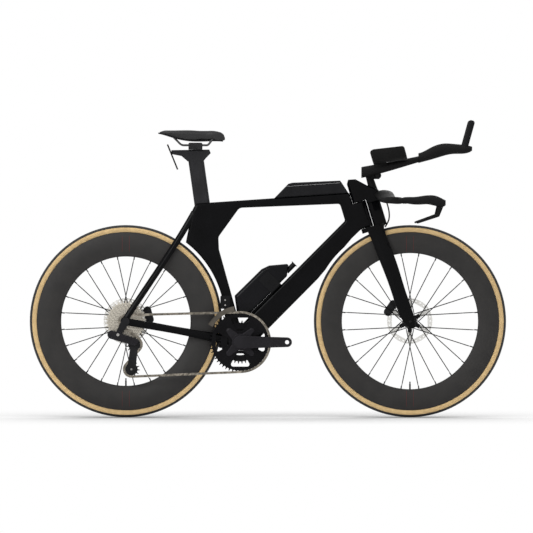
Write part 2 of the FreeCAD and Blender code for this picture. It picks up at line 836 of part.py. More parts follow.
# Seatpost and saddle
seat_sizes = {
    "post_rise": 165,
    "post_head_rear": 85,
    "post_head_front": 54,
    "post_head_rise": 23,
    "post_head_drop": 19,
    "post_head_round": 4,
    "clamp_length": 49,
    "clamp_height": 28,
    "clamp_width": 54,
    "clamp_round": 5,
    "clamp_rise": 31,
    "rail_radius": 3.5,
    "rail_spread": 44,
    "rail_front_reach": 44,
    "rail_rear_reach": 49,
    "rail_front_rise": 22,
    "rail_front_run": 17,
    "rail_rear_rise": 30,
    "rail_rear_run": 30,
    "rail_bend_share": 0.2,
    "clamp_foot_share": 0.97,
    "rail_height_share": 0.25,
    "plate_height_share": 0.6,
    "plate_length": 95,
    "plate_thickness": 5,
    "plate_width": 40,
    "plate_tilt_deg": 22,
    "plate_overhang": 30,
    "saddle_length": 240,
    "saddle_width": 134,
    "saddle_depth": 36,
    "saddle_rise": 89,
    "saddle_nose_ahead": 109,
    "saddle_shell": 4,
    "saddle_channel_width": 20,
    "saddle_channel_depth": 5,
    "saddle_crown": 4,
    "saddle_shoulder_share": 0.3,
    "saddle_foot_share": 0.78,
    "saddle_waist_share": 0.86,
    "saddle_waist_depth_share": 0.7,
    "shell_width_share": 0.74,
}
add_sizes(seat_sizes)

post_head = post_mouth + post_up * dim.post_rise


# Outline of the post's head: shares of its reach ahead or behind, and of its rise or drop.
post_head_shares = [
    (-1.00, 0.90),
    (0.90, 1.00),
    (1.00, 0.45),
    (0.65, -0.50),
    (0.51, -1.00),
    (-0.32, -1.00),
    (-0.58, 0.00),
    (-1.00, 0.30),
]


def seatpost_shape():
    """A straight blade with a head that carries the saddle clamp."""
    foot = post_section(0)
    foot.translate(post_mouth - post_up * dim.post_insertion)
    blade = foot.extrude(post_up * (dim.post_insertion + dim.post_rise))
    places = []
    for along, up in post_head_shares:
        reach = dim.post_head_front if along > 0 else dim.post_head_rear
        height = dim.post_head_rise if up > 0 else dim.post_head_drop
        places.append((post_head.x + along * reach, post_head.z + up * height, 0))
    head = rounded_slab(places, dim.post_width / 2, dim.post_head_round)
    return joined([blade, head])


seatpost = seatpost_shape()
node("seatpost", seatpost)

rail_z = post_head.z + dim.clamp_rise + dim.clamp_height * dim.rail_height_share
clamp_z = post_head.z + dim.post_head_rise * dim.clamp_foot_share


def rail_points(side):
    """One rail's route, from the nose to the tail."""
    front = post_head.x + dim.rail_front_reach
    rear = post_head.x - dim.rail_rear_reach
    return [
        vec(front + dim.rail_front_run, side, rail_z + dim.rail_front_rise),
        vec(front, side, rail_z),
        vec(rear, side, rail_z),
        vec(rear - dim.rail_rear_run, side, rail_z + dim.rail_rear_rise),
    ]


def clamp_shape():
    """A block on the post's head with a running hole for each rail."""
    half = dim.clamp_length / 2
    outline = [
        (post_head.x - half, clamp_z, 0),
        (post_head.x - half, rail_z + dim.clamp_height / 2 - dim.clamp_round, dim.clamp_round),
        (post_head.x + half, rail_z + dim.clamp_height / 2 - dim.clamp_round, dim.clamp_round),
        (post_head.x + half, clamp_z, 0),
    ]
    block = slab(outline, -dim.clamp_width / 2, dim.clamp_width / 2).cut(seatpost)
    for side in (-dim.rail_spread / 2, dim.rail_spread / 2):
        start = vec(post_head.x - dim.clamp_length, side, rail_z)
        end = vec(post_head.x + dim.clamp_length, side, rail_z)
        block = block.cut(rod(start, end, dim.rail_radius + dim.running_gap))
    return block


node("saddle_clamp", clamp_shape())


def plate_shape():
    """A flat plate that hangs behind the post's head."""
    tilt = math.radians(dim.plate_tilt_deg)
    down = vec(math.sin(tilt), 0, -math.cos(tilt))
    top = vec(post_head.x - dim.post_head_rear, 0, post_head.z + dim.post_head_rise * dim.plate_height_share)
    top = top - down * dim.plate_overhang
    back = vec(-down.z, 0, down.x) * -dim.plate_thickness
    half = vec(0, dim.plate_width / 2, 0)
    corners = [top - half, top + half, top + half + back, top - half + back]
    face = Part.Face(Part.makePolygon(corners + corners[:1]))
    return biggest(face.extrude(down * dim.plate_length).cut(seatpost))


node("rear_plate", plate_shape())

# Saddle stations: share of the length from the nose, half width share, top drop share, depth share.
saddle_shares = [
    (0.00, 0.16, 0.45, 0.35),
    (0.05, 0.30, 0.10, 0.85),
    (0.22, 0.44, 0.00, 0.92),
    (0.48, 0.62, 0.02, 0.92),
    (0.70, 0.88, 0.02, 0.72),
    (0.86, 1.00, 0.03, 0.40),
    (1.00, 0.86, 0.00, 0.18),
]


def saddle_section(x, half, top, depth):
    """Bottom line, drawn-in side, crowned top and the long channel, all in one plane across the saddle."""
    groove = min(dim.saddle_channel_width / 2, half / 2)
    dip = min(dim.saddle_channel_depth, depth / 3)
    crown = min(dim.saddle_crown, depth / 4)
    shoulder = top - depth * dim.saddle_shoulder_share
    tuck = top - depth * dim.saddle_waist_depth_share
    low = half * dim.saddle_foot_share
    waist = half * dim.saddle_waist_share

    def at(y, z):
        return vec(x, y, z)

    left = [
        Part.Arc(at(low, top - depth), at(waist, tuck), at(half, shoulder)).toShape(),
        Part.Arc(at(half, shoulder), at((half + groove) / 2, top), at(groove, top - crown)).toShape(),
    ]
    channel = Part.Arc(at(groove, top - crown), at(0, top - crown - dip), at(-groove, top - crown)).toShape()
    right = [
        Part.Arc(at(-groove, top - crown), at(-(half + groove) / 2, top), at(-half, shoulder)).toShape(),
        Part.Arc(at(-half, shoulder), at(-waist, tuck), at(-low, top - depth)).toShape(),
    ]
    bottom = Part.LineSegment(at(-low, top - depth), at(low, top - depth)).toShape()
    return Part.Wire(left + [channel] + right + [bottom])


def shell_section(x, half, top, depth):
    low = half * dim.shell_width_share
    under = top - depth
    corners = [
        vec(x, low, under),
        vec(x, -low, under),
        vec(x, -low, under - dim.saddle_shell),
        vec(x, low, under - dim.saddle_shell),
    ]
    return Part.makePolygon(corners + corners[:1])


def saddle_stations():
    for along, half, drop, depth in saddle_shares:
        x = post_head.x + dim.saddle_nose_ahead - along * dim.saddle_length
        top = post_head.z + dim.saddle_rise - drop * dim.saddle_depth
        yield x, half * dim.saddle_width / 2, top, depth * dim.saddle_depth


saddle = Part.makeLoft([saddle_section(*station) for station in saddle_stations()], True, False)
node("saddle", saddle)
shell_stations = list(saddle_stations())[1:]
shell = Part.makeLoft([shell_section(*station) for station in shell_stations], True, False)
node("saddle_shell", shell.cut(saddle))
rails = []
for side in (-dim.rail_spread / 2, dim.rail_spread / 2):
    rails.append(hose(rail_points(side), dim.rail_radius, dim.rail_bend_share))
node("saddle_rails", Part.makeCompound([biggest(rail.cut(saddle).cut(shell)) for rail in rails]))


# Bottle and its cage
bottle_sizes = {
    "bottle_length": 252,
    "bottle_depth": 83,
    "bottle_width": 58,
    "bottle_foot": 64,
    "bottle_round": 12,
    "bottle_gap": 8,
    "nozzle_radius": 9,
    "nozzle_length": 40,
    "nozzle_lip": 3,
    "nozzle_foot_share": 0.9,
    "cage_width": 18,
    "cage_wall": 2.5,
    "cage_foot": 96,
    "cage_length": 150,
    "cage_arm_length": 46,
    "cage_arm_height": 62,
    "cage_bolt_radius": 2.5,
    "cage_bolt_spacing": 64,
}
add_sizes(bottle_sizes)

bottle_bed = dim.down_tube_depth / 2 + dim.bottle_gap
bottle_shares = [
    (0.04, 0.00),
    (0.00, 0.41),
    (0.15, 1.00),
    (0.68, 0.98),
    (0.79, 0.86),
    (1.00, 0.32),
    (0.86, 0.00),
]


def on_down_tube(shape):
    shape.Placement = down_tube.multiply(shape.Placement)
    return shape


def bottle_shape():
    outline = []
    for along, up in bottle_shares:
        place = (dim.bottle_foot + along * dim.bottle_length, bottle_bed + up * dim.bottle_depth)
        outline.append((*place, dim.bottle_round / 2 if up > 0 else 0))
    return on_down_tube(rounded_slab(outline, dim.bottle_width / 2, dim.bottle_round))


bottle = bottle_shape()
node("bottle", bottle)


def nozzle_shape():
    """A drinking nozzle that leaves the bottle's front face along the down tube."""
    foot = dim.bottle_foot + dim.bottle_length * dim.nozzle_foot_share
    height = bottle_bed + dim.nozzle_radius + dim.nozzle_lip
    axis = vec(1, 0, 0)
    stem = Part.makeCylinder(dim.nozzle_radius, dim.nozzle_length, vec(foot, 0, height), axis)
    tip = vec(foot + dim.nozzle_length - dim.nozzle_lip, 0, height)
    lip = Part.makeCylinder(dim.nozzle_radius + dim.nozzle_lip, dim.nozzle_lip, tip, axis)
    return biggest(on_down_tube(stem.fuse(lip)).cut(bottle))


node("bottle_nozzle", nozzle_shape())


def cage_shape():
    """A strip on the down tube with a pair of arms that grip the bottle's sides."""
    skin = dim.down_tube_depth / 2
    top = bottle_bed - dim.running_gap
    side = dim.bottle_width / 2 + dim.running_gap

    def block(along, length, right, left, low, high):
        return Part.makeBox(length, left - right, high - low, vec(along, right, low))

    strip = block(dim.cage_foot, dim.cage_length, -dim.cage_width / 2, dim.cage_width / 2, skin, top)
    bridge_at = dim.cage_foot + dim.cage_length - dim.cage_arm_length
    outer = side + dim.cage_wall
    bridge = block(bridge_at, dim.cage_arm_length, -outer, outer, top - dim.cage_wall, top)
    left = block(bridge_at, dim.cage_arm_length, side, outer, top - dim.cage_wall, top + dim.cage_arm_height)
    cage = joined([strip, bridge, left, mirrored(left)])
    for place in cage_bolt_places():
        cage = cage.cut(Part.makeCylinder(dim.cage_bolt_radius + dim.seat_gap, top, vec(place, 0, 0)))
    return biggest(on_down_tube(cage).cut(main_frame))


def cage_bolt_places():
    first = dim.cage_foot + dim.cage_bolt_spacing / 4
    return [first, first + dim.cage_bolt_spacing]


node("bottle_cage", cage_shape())


# Storage box on the top tube
box_sizes = {
    "box_length": 262,
    "box_height": 50,
    "box_width": 40,
    "box_wall": 2.5,
    "box_round": 5,
    "box_lid_height": 12,
    "box_front_gap": 3,
    "lid_pin_radius": 1.5,
    "lid_knuckle_radius": 3.2,
    "lid_knuckle_width": 18,
    "lid_ear_width": 5,
}
add_sizes(box_sizes)

box_angle = math.degrees(math.atan(top_slope))
box_rear = vec(notch_top[0] - dim.box_front_gap - dim.box_length * math.cos(math.atan(top_slope)), 0, 0)
box_rear.z = top_line(box_rear.x)
box_frame = FreeCAD.Placement(box_rear, FreeCAD.Rotation(vec(0, 1, 0), -box_angle))
box_shares = [(0.00, 0.00), (0.20, 0.94), (0.25, 1.00), (0.90, 0.92), (0.94, 0.56), (1.00, 0.00)]
cavity_shares = [0.08, 0.20]
lid_plane = dim.box_height - dim.box_lid_height
box_split = dim.box_length * 2


def on_top_tube(shape):
    shape.Placement = box_frame.multiply(shape.Placement)
    return shape


def box_outline():
    return [(along * dim.box_length, up * dim.box_height, 0) for along, up in box_shares]


def box_half(low, high):
    """The box's rounded outside between two heights above the top tube."""
    solid = rounded_slab(box_outline(), dim.box_width / 2, dim.box_round)
    keep = Part.makeBox(box_split, box_split, high - low, vec(-box_split / 4, -box_split / 2, low))
    return solid.common(keep)


def front_face(up):
    """How far along the box its front face lies at a height above the top tube."""
    (high_along, high), (low_along, low) = box_shares[3:5]
    fall = (high - up / dim.box_height) / (high - low)
    return dim.box_length * (high_along + fall * (low_along - high_along))


hinge_along = front_face(lid_plane) - dim.lid_knuckle_radius
knuckle_side = dim.lid_knuckle_width / 2


def hinge_bar(radius, right, left):
    """A round bar on the lid's hinge line, from Y = right to Y = left."""
    return Part.makeCylinder(radius, left - right, vec(hinge_along, right, lid_plane), vec(0, 1, 0))


def lid_ears(slack):
    """The box's two rings that hold the hinge pin on either side of the lid's knuckle."""
    inner = knuckle_side + dim.running_gap
    outer = inner + dim.lid_ear_width
    ear = hinge_bar(dim.lid_knuckle_radius + slack, inner - slack, outer + slack)
    return [ear, mirrored(ear)]


def storage_box_shape():
    inside = dim.box_width / 2 - dim.box_wall
    room = dim.lid_knuckle_radius + dim.running_gap
    foot, rear = (share * dim.box_length for share in cavity_shares)
    front = hinge_along - room - dim.box_wall
    cavity = [
        (foot, dim.box_wall, 0),
        (rear, dim.box_height, 0),
        (front, dim.box_height, 0),
        (front, dim.box_wall, 0),
    ]
    side = knuckle_side + dim.running_gap
    box = box_half(0, lid_plane).cut(slab(cavity, -inside, inside)).cut(hinge_bar(room, -side, side))
    pin = hinge_bar(dim.lid_pin_radius, -side, side)
    return on_top_tube(joined([box, *lid_ears(0), pin]))


def storage_lid_shape():
    """The top of the box behind its hinge line, with the knuckle that turns on the pin."""
    lid = box_half(lid_plane + dim.running_gap, dim.box_height)
    ahead = Part.makeBox(box_split, box_split, box_split, vec(hinge_along, -box_split / 2, 0))
    for part in (ahead, *lid_ears(dim.running_gap)):
        lid = lid.cut(part)
    knuckle = hinge_bar(dim.lid_knuckle_radius, -knuckle_side, knuckle_side)
    bore = hinge_bar(dim.lid_pin_radius + dim.running_gap, -knuckle_side, knuckle_side)
    return on_top_tube(joined([lid, knuckle]).cut(bore))


node("storage_box", storage_box_shape())
node("storage_lid", storage_lid_shape())


# Toothed wheels and chain
chain_sizes = {
    "chain_pitch": 12.7,
    "outer_ring_teeth": 52,
    "inner_ring_teeth": 36,
    "pulley_teeth": 13,
    "tooth_rise": 3.8,
    "tooth_root": 4.3,
    "tooth_foot_share": 0.25,
    "tooth_tip_share": 0.07,
    "tooth_thickness": 1.8,
    "ring_side": 47,
    "inner_ring_side": 40.5,
    "inner_ring_bore": 46,
    "cog_side": 64,
    "cog_spacing": 3.65,
    "cog_thickness": 1.5,
    "freehub_radius": 17,
    "freehub_lip": 4.5,
    "plate_gap": 1.3,
    "link_thickness": 0.62,
    "link_radius": 4,
    "roller_radius": 3.9,
    "guide_ahead": 31,
    "guide_drop": 81,
    "tension_ahead": 22,
    "tension_drop": 168,
}
add_sizes(chain_sizes)
cog_teeth = [11, 12, 13, 14, 15, 17, 19, 21, 24, 27, 30, 34]


def pitch_radius(teeth):
    return teeth * dim.chain_pitch / (2 * math.pi)


def flat_ring(wire, bore, x, y, z, thickness):
    """Pushes a wire drawn about the origin in the side view to a thickness, with a round bore."""
    hole = Part.Wire([Part.Circle(vec(0, 0, 0), vec(0, 1, 0), bore).toShape()])
    face = Part.Face(wire).cut(Part.Face(hole))
    solid = face.extrude(vec(0, thickness, 0))
    solid.translate(vec(x, y, z))
    return solid.Solids[0]


def sprocket(teeth, bore, x, side, z, thickness, phase=0):
    """A toothed disc whose middle lies at Y = -side; a gap between teeth lies at the phase angle."""
    step = 2 * math.pi / teeth
    root = pitch_radius(teeth) - dim.tooth_root
    tip = pitch_radius(teeth) + dim.tooth_rise
    foot = dim.tooth_foot_share
    point = dim.tooth_tip_share
    corners = []
    for tooth in range(int(teeth)):
        for share, radius in ((-foot, root), (-point, tip), (point, tip), (foot, root)):
            angle = phase + (tooth + 0.5 + share) * step
            corners.append(vec(radius * math.cos(angle), 0, radius * math.sin(angle)))
    wire = Part.makePolygon(corners + corners[:1])
    return flat_ring(wire, bore, x, -side - thickness / 2, z, thickness)


def hull_face(start, start_radius, end, end_radius):
    """Two circles in the side view and the straight lines that wrap them, as a face."""
    way = end - start
    turn = math.atan2(way.z, way.x)
    lean = math.acos((start_radius - end_radius) / way.Length)

    def on(centre, radius, angle):
        return centre + vec(math.cos(angle), 0, math.sin(angle)) * radius

    first = on(start, start_radius, turn + lean)
    second = on(start, start_radius, turn - lean)
    third = on(end, end_radius, turn - lean)
    fourth = on(end, end_radius, turn + lean)
    edges = [
        Part.Arc(first, on(start, start_radius, turn + math.pi), second).toShape(),
        Part.LineSegment(second, third).toShape(),
        Part.Arc(third, on(end, end_radius, turn), fourth).toShape(),
        Part.LineSegment(fourth, first).toShape(),
    ]
    return Part.Face(Part.Wire(edges))


def hull(start, start_radius, end, end_radius, right, left):
    """A flat link between two round ends, from Y = right to Y = left; places are (x, z)."""
    first = vec(start[0], right, start[1])
    second = vec(end[0], right, end[1])
    return hull_face(first, start_radius, second, end_radius).extrude(vec(0, left - right, 0))


guide = vec(rear_x + dim.guide_ahead, -dim.cog_side, axle_z - dim.guide_drop)


def chain_runs(tension):
    """The chain's closed way around ring, cog, guide and tension pulley as arcs and straight runs."""
    wheels = [
        (vec(bb_x, -dim.ring_side, bb_z), pitch_radius(dim.outer_ring_teeth)),
        (vec(rear_x, -dim.cog_side, axle_z), pitch_radius(cog_teeth[0])),
        (guide, -pitch_radius(dim.pulley_teeth)),
        (tension, pitch_radius(dim.pulley_teeth)),
    ]
    tangents = []
    for index, (centre, radius) in enumerate(wheels):
        other, other_radius = wheels[(index + 1) % len(wheels)]
        reach = other - centre
        flat = math.hypot(reach.x, reach.z)
        turn = math.atan2(reach.z, reach.x) - math.asin((other_radius - radius) / flat)
        left = vec(-math.sin(turn), 0, math.cos(turn))
        tangents.append((turn, centre - left * radius, other - left * other_radius))
    runs = []
    for index, (centre, radius) in enumerate(wheels):
        came = tangents[index - 1][0]
        turn, start, end = tangents[index]
        sign = 1 if radius > 0 else -1
        sweep = (sign * (turn - came)) % (2 * math.pi)
        runs.append(("arc", abs(radius) * sweep, centre, abs(radius), came - sign * math.pi / 2, sign))
        other_radius = wheels[(index + 1) % len(wheels)][1]
        runs.append(("run", (end - start).Length, start, end, abs(radius), abs(other_radius)))
    return runs


def chain_length(tension):
    return sum(run[1] for run in chain_runs(tension))


def tension_place():
    """The tension pulley swings back or forth until the chain closes on a whole even count of links."""
    rest = vec(rear_x + dim.tension_ahead, -dim.cog_side, axle_z - dim.tension_drop)
    links = 2 * round(chain_length(rest) / (2 * dim.chain_pitch))
    low = -2 * dim.chain_pitch
    high = 2 * dim.chain_pitch
    for _ in range(48):
        middle = (low + high) / 2
        if chain_length(rest + vec(middle, 0, 0)) > links * dim.chain_pitch:
            low = middle
        else:
            high = middle
    return rest + vec(low, 0, 0), links


tension, link_count = tension_place()


def chain_pins():
    """Each pin's place, whether a roller has room there, and the wheel it lies on.

    A run shifts sideways only between the teeth of the wheels at its ends.
    """
    runs = chain_runs(tension)
    pins = []
    for index in range(link_count):
        along = index * dim.chain_pitch
        number = 0
        while along > runs[number][1]:
            along -= runs[number][1]
            number += 1
        run = runs[number]
        if run[0] == "arc":
            angle = run[4] + run[5] * along / run[3]
            spot = run[2] + vec(math.cos(angle), 0, math.sin(angle)) * run[3]
            pins.append((spot, False, number // 2, angle))
        else:
            near = roller_reach(run[4])
            far = run[1] - roller_reach(run[5])
            way = run[3] - run[2]
            spot = run[2] + way * (along / run[1])
            spot.y = run[2].y + way.y * min(max((along - near) / (far - near), 0), 1)
            pins.append((spot, near < along < far, None, 0))
    return pins


def roller_reach(radius):
    """How far from a wheel's tangent point a link's round end clears its teeth."""
    clear = radius + dim.tooth_rise + dim.running_gap + dim.link_radius
    return math.sqrt(clear * clear - radius * radius)


pins = chain_pins()


def wheel_phase(number):
    """The angle of the first pin that lies on a wheel, so that the wheel's gaps meet the pins."""
    return [pin[3] for pin in pins if pin[2] == number][0]


def chain_shape():
    """Side plates all the way round, narrow and wide in turn, with rollers on the free runs."""
    def plates(near):
        half = dim.chain_pitch / 2
        ends = ((-half, 0), dim.link_radius, (half, 0), dim.link_radius)
        return [
            hull(*ends, near, near + dim.link_thickness),
            hull(*ends, -near - dim.link_thickness, -near),
        ]

    narrow = plates(dim.plate_gap)
    wide = plates(dim.plate_gap + dim.link_thickness)
    solids = []
    for index, pin in enumerate(pins):
        ahead = pins[(index + 1) % link_count][0]
        way = ahead - pin[0]
        lean = FreeCAD.Rotation(vec(0, 0, 1), math.degrees(math.asin(way.y / way.Length)))
        turn = FreeCAD.Rotation(vec(0, 1, 0), -math.degrees(math.atan2(way.z, way.x))).multiply(lean)
        for plate in narrow if index % 2 == 0 else wide:
            copy = plate.copy()
            copy.Placement = FreeCAD.Placement((pin[0] + ahead) * 0.5, turn)
            solids.append(copy)
        if pin[1]:
            start = pin[0].y - dim.plate_gap
            solids.append(disc(pin[0].x, start, pin[0].z, dim.roller_radius, 2 * dim.plate_gap))
    return Part.makeCompound(solids)


node("chain", chain_shape())


# Cranks and chainrings
crank_sizes = {
    "crank_length": 165,
    "crank_root_radius": 22,
    "crank_tip_radius": 17,
    "crank_thickness": 13,
    "crank_side": 60,
    "pedal_thread_radius": 7.14,
    "bolt_circle": 55,
    "ring_bolt_radius": 4.2,
    "ring_bolt_head": 2,
    "spider_hub_radius": 29.5,
    "spider_foot_radius": 16,
    "spider_tip_radius": 9,
    "ring_bore": 30,
    "ring_window_foot": 40,
    "ring_window_head": 86,
    "ring_window_foot_half": 12,
    "ring_window_head_half": 38,
    "ring_window_round": 8,
    "spindle_grip": 7,
}
add_sizes(crank_sizes)
bolt_angles = [math.radians(45 + 90 * quarter) for quarter in range(4)]


def bolt_spot(angle, radius):
    return bb_x + radius * math.cos(angle), bb_z + radius * math.sin(angle)


def crank_blade(way):
    """An arm on the left side that points forward (1) or back (-1), with spindle and pedal holes."""
    tip = (bb_x + way * dim.crank_length, bb_z)
    near = dim.crank_side
    far = near + dim.crank_thickness
    arm = hull((bb_x, bb_z), dim.crank_root_radius, tip, dim.crank_tip_radius, near, far)
    arm = arm.cut(disc(tip[0], 0, bb_z, dim.pedal_thread_radius, far + near))
    return arm.cut(disc(bb_x, 0, bb_z, dim.spindle_radius + dim.seat_gap, near + dim.spindle_grip))


def right_crank_shape():
    """The drive side arm with its hub, its spindle and the four spider arms that hold both rings."""
    outer = -dim.ring_side + dim.tooth_thickness / 2
    inner = -dim.inner_ring_side - dim.tooth_thickness / 2
    hub = disc(bb_x, -dim.crank_side, bb_z, dim.spider_hub_radius, dim.crank_side + inner)
    parts = [mirrored(crank_blade(1)), hub]
    for angle in bolt_angles:
        spot = bolt_spot(angle, dim.bolt_circle)
        parts.append(hull((bb_x, bb_z), dim.spider_foot_radius, spot, dim.spider_tip_radius, outer, inner))
    solid = joined(parts)
    hole = dim.ring_bolt_radius + dim.seat_gap
    for angle in bolt_angles:
        spot = bolt_spot(angle, dim.bolt_circle)
        solid = solid.cut(disc(spot[0], -dim.crank_side, spot[1], hole, dim.crank_side))
    face = dim.bb_shell_width / 2 + dim.bb_cup_flange + dim.running_gap
    solid = solid.cut(disc(bb_x, -face, bb_z, dim.bb_shell_radius + dim.running_gap, face))
    end = dim.crank_side + dim.spindle_grip
    return joined([solid, disc(bb_x, -end, bb_z, dim.spindle_radius, 2 * end)])


def with_bolt_holes(ring):
    for angle in bolt_angles:
        spot = bolt_spot(angle, dim.bolt_circle)
        over = 2 * dim.ring_side
        ring = ring.cut(disc(spot[0], -over, spot[1], dim.ring_bolt_radius + dim.seat_gap, 2 * over))
    return ring


def outer_ring_shape():
    """The large ring: four rounded windows leave an X of arms on a broad toothed rim."""
    ring = sprocket(
        dim.outer_ring_teeth, dim.ring_bore, bb_x, dim.ring_side, bb_z, dim.tooth_thickness, wheel_phase(0)
    )
    window = [
        (dim.ring_window_foot, -dim.ring_window_foot_half, dim.ring_window_round),
        (dim.ring_window_head, -dim.ring_window_head_half, dim.ring_window_round),
        (dim.ring_window_head, dim.ring_window_head_half, dim.ring_window_round),
        (dim.ring_window_foot, dim.ring_window_foot_half, dim.ring_window_round),
    ]
    for quarter in range(4):
        cut = slab(window, -2 * dim.ring_side, 0)
        cut.Placement = FreeCAD.Placement(vec(bb_x, 0, bb_z), FreeCAD.Rotation(vec(0, 1, 0), 90 * quarter))
        ring = ring.cut(cut)
    return with_bolt_holes(ring)


def ring_bolts_shape():
    start = -dim.ring_side - dim.tooth_thickness / 2 - dim.ring_bolt_head
    end = -dim.inner_ring_side + dim.tooth_thickness / 2 + dim.ring_bolt_head / 2
    bolts = []
    for angle in bolt_angles:
        spot = bolt_spot(angle, dim.bolt_circle)
        bolts.append(disc(spot[0], start, spot[1], dim.ring_bolt_radius, end - start))
    return Part.makeCompound(bolts)


node("right_crank_arm", right_crank_shape())
node("left_crank_arm", crank_blade(-1))
node("outer_chainring", outer_ring_shape())
node("inner_chainring", with_bolt_holes(sprocket(
    dim.inner_ring_teeth, dim.inner_ring_bore, bb_x, dim.inner_ring_side, bb_z, dim.tooth_thickness
)))
node("chainring_bolts", ring_bolts_shape())


# Cassette on its freehub
def cassette_shape():
    """Twelve cogs on one ribbed freehub body that runs on the axle."""
    cogs = []
    for index, teeth in enumerate(cog_teeth):
        side = dim.cog_side - index * dim.cog_spacing
        phase = wheel_phase(1) if index == 0 else 0
        cogs.append(sprocket(teeth, dim.freehub_radius, rear_x, side, axle_z, dim.cog_thickness, phase))
    start = -dim.cog_side - dim.freehub_lip
    end = -dim.rear_right_flange - dim.hub_flange_thickness / 2 - dim.spoke_radius * 2 - dim.running_gap
    body = disc(rear_x, start, axle_z, dim.freehub_radius, end - start)
    bore = disc(rear_x, start, axle_z, dim.axle_radius + dim.running_gap, end - start)
    return joined(cogs + [body.cut(bore)])


node("cassette", cassette_shape())


# Derailleurs
derailleur_sizes = {
    "pulley_bore": 3.3,
    "pulley_bolt_radius": 3,
    "cage_inner": 4.2,
    "cage_plate": 1.8,
    "cage_guide_radius": 13,
    "cage_tension_radius": 15,
    "hanger_thickness": 7,
    "hanger_back": 26,
    "hanger_drop": 46,
    "hanger_root_radius": 14,
    "hanger_tip_radius": 10,
    "knuckle_radius": 13,
    "knuckle_length": 14,
    "derailleur_tail": 22,
    "derailleur_body_radius": 15,
    "derailleur_body_width": 18,
    "pivot_rise": 10,
    "shift_body_length": 34,
    "shift_body_height": 46,
    "shift_body_rise": 117,
    "shift_body_setback": 36,
    "shift_body_round": 4,
    "shift_cage_near": 111,
    "shift_cage_far": 128,
    "shift_cage_inner": 4.2,
    "shift_cage_outer": 6.8,
    "shift_cage_plate": 1.3,
    "shift_cage_from_deg": 100,
    "shift_cage_to_deg": 151,
    "shift_bridge": 5,
}
add_sizes(derailleur_sizes)
node("guide_pulley", sprocket(
    dim.pulley_teeth, dim.pulley_bore, guide.x, dim.cog_side, guide.z, dim.tooth_thickness, wheel_phase(2)
))
node("tension_pulley", sprocket(
    dim.pulley_teeth, dim.pulley_bore, tension.x, dim.cog_side, tension.z, dim.tooth_thickness, wheel_phase(3)
))
cage_outside = -dim.cog_side - dim.cage_inner - dim.cage_plate
cage_inside = -dim.cog_side + dim.cage_inner


def derailleur_cage_shape():
    """Two plates with the pulleys' bolts between them."""
    ends = ((guide.x, guide.z), dim.cage_guide_radius, (tension.x, tension.z), dim.cage_tension_radius)
    parts = [
        hull(*ends, cage_outside, cage_outside + dim.cage_plate),
        hull(*ends, cage_inside, cage_inside + dim.cage_plate),
    ]
    for pulley in (guide, tension):
        width = cage_inside - cage_outside + dim.cage_plate
        parts.append(disc(pulley.x, cage_outside, pulley.z, dim.pulley_bolt_radius, width))
    return joined(parts)


hanger_face = -dim.rear_hub_width / 2 - dim.dropout_thickness
knuckle_face = hanger_face - dim.hanger_thickness
knuckle = (rear_x - dim.hanger_back, axle_z - dim.hanger_drop)
node("derailleur_hanger", hull(
    (rear_x, axle_z), dim.hanger_root_radius, knuckle, dim.hanger_tip_radius, knuckle_face, hanger_face
))
node("derailleur_cage", derailleur_cage_shape())


def rear_derailleur_shape():
    """Upper knuckle on the hanger, the link body outside it, and the pivot that carries the cage."""
    body_face = knuckle_face - dim.knuckle_length
    pivot = (guide.x, guide.z + dim.pivot_rise)
    tail = (knuckle[0] - dim.derailleur_tail, knuckle[1])
    back = body_face + dim.derailleur_body_width
    parts = [
        disc(knuckle[0], body_face, knuckle[1], dim.knuckle_radius, dim.knuckle_length),
        hull(tail, dim.derailleur_body_radius, pivot, dim.knuckle_radius, body_face, min(back, knuckle_face)),
        disc(pivot[0], body_face, pivot[1], dim.knuckle_radius, cage_outside - body_face),
    ]
    return joined(parts)


node("rear_derailleur", rear_derailleur_shape())


def shift_sector(near, far, start_deg, end_deg, right, left):
    """A curved strip about the bottom bracket."""
    start = math.radians(start_deg)
    end = math.radians(end_deg)
    middle = (start + end) / 2

    def on(radius, angle):
        return vec(bb_x + radius * math.cos(angle), right, bb_z + radius * math.sin(angle))

    edges = [
        Part.Arc(on(near, start), on(near, middle), on(near, end)).toShape(),
        Part.LineSegment(on(near, end), on(far, end)).toShape(),
        Part.Arc(on(far, end), on(far, middle), on(far, start)).toShape(),
        Part.LineSegment(on(far, start), on(near, start)).toShape(),
    ]
    return Part.Face(Part.Wire(edges)).extrude(vec(0, left - right, 0))


def shift_cage_shape():
    """Two curved plates beside the chain, joined by bridges above it."""
    reach = (dim.shift_cage_near, dim.shift_cage_far, dim.shift_cage_from_deg, dim.shift_cage_to_deg)
    inner = -dim.ring_side + dim.shift_cage_inner
    outer = -dim.ring_side - dim.shift_cage_outer
    thick = dim.shift_cage_plate
    span = (dim.shift_cage_to_deg - dim.shift_cage_from_deg) / 6
    low = dim.shift_cage_far - dim.shift_bridge
    parts = [shift_sector(*reach, inner, inner + thick), shift_sector(*reach, outer - thick, outer)]
    for start in (dim.shift_cage_from_deg, dim.shift_cage_to_deg - span):
        parts.append(shift_sector(low, dim.shift_cage_far, start, start + span, outer, inner))
    return joined(parts)


def front_derailleur_shape():
    """A motor block on the seat tube's side."""
    low = bb_z + dim.shift_body_rise
    high = low + dim.shift_body_height
    front = bb_x - dim.shift_body_setback
    rear = front - dim.shift_body_length
    corner = dim.shift_body_round
    outline = [(rear, low, corner), (rear, high, corner), (front, high, corner), (front, low, corner)]
    return slab(outline, -dim.ring_side + dim.shift_cage_inner + dim.shift_cage_plate, -half_frame)


node("front_derailleur", front_derailleur_shape())
node("front_derailleur_cage", shift_cage_shape())


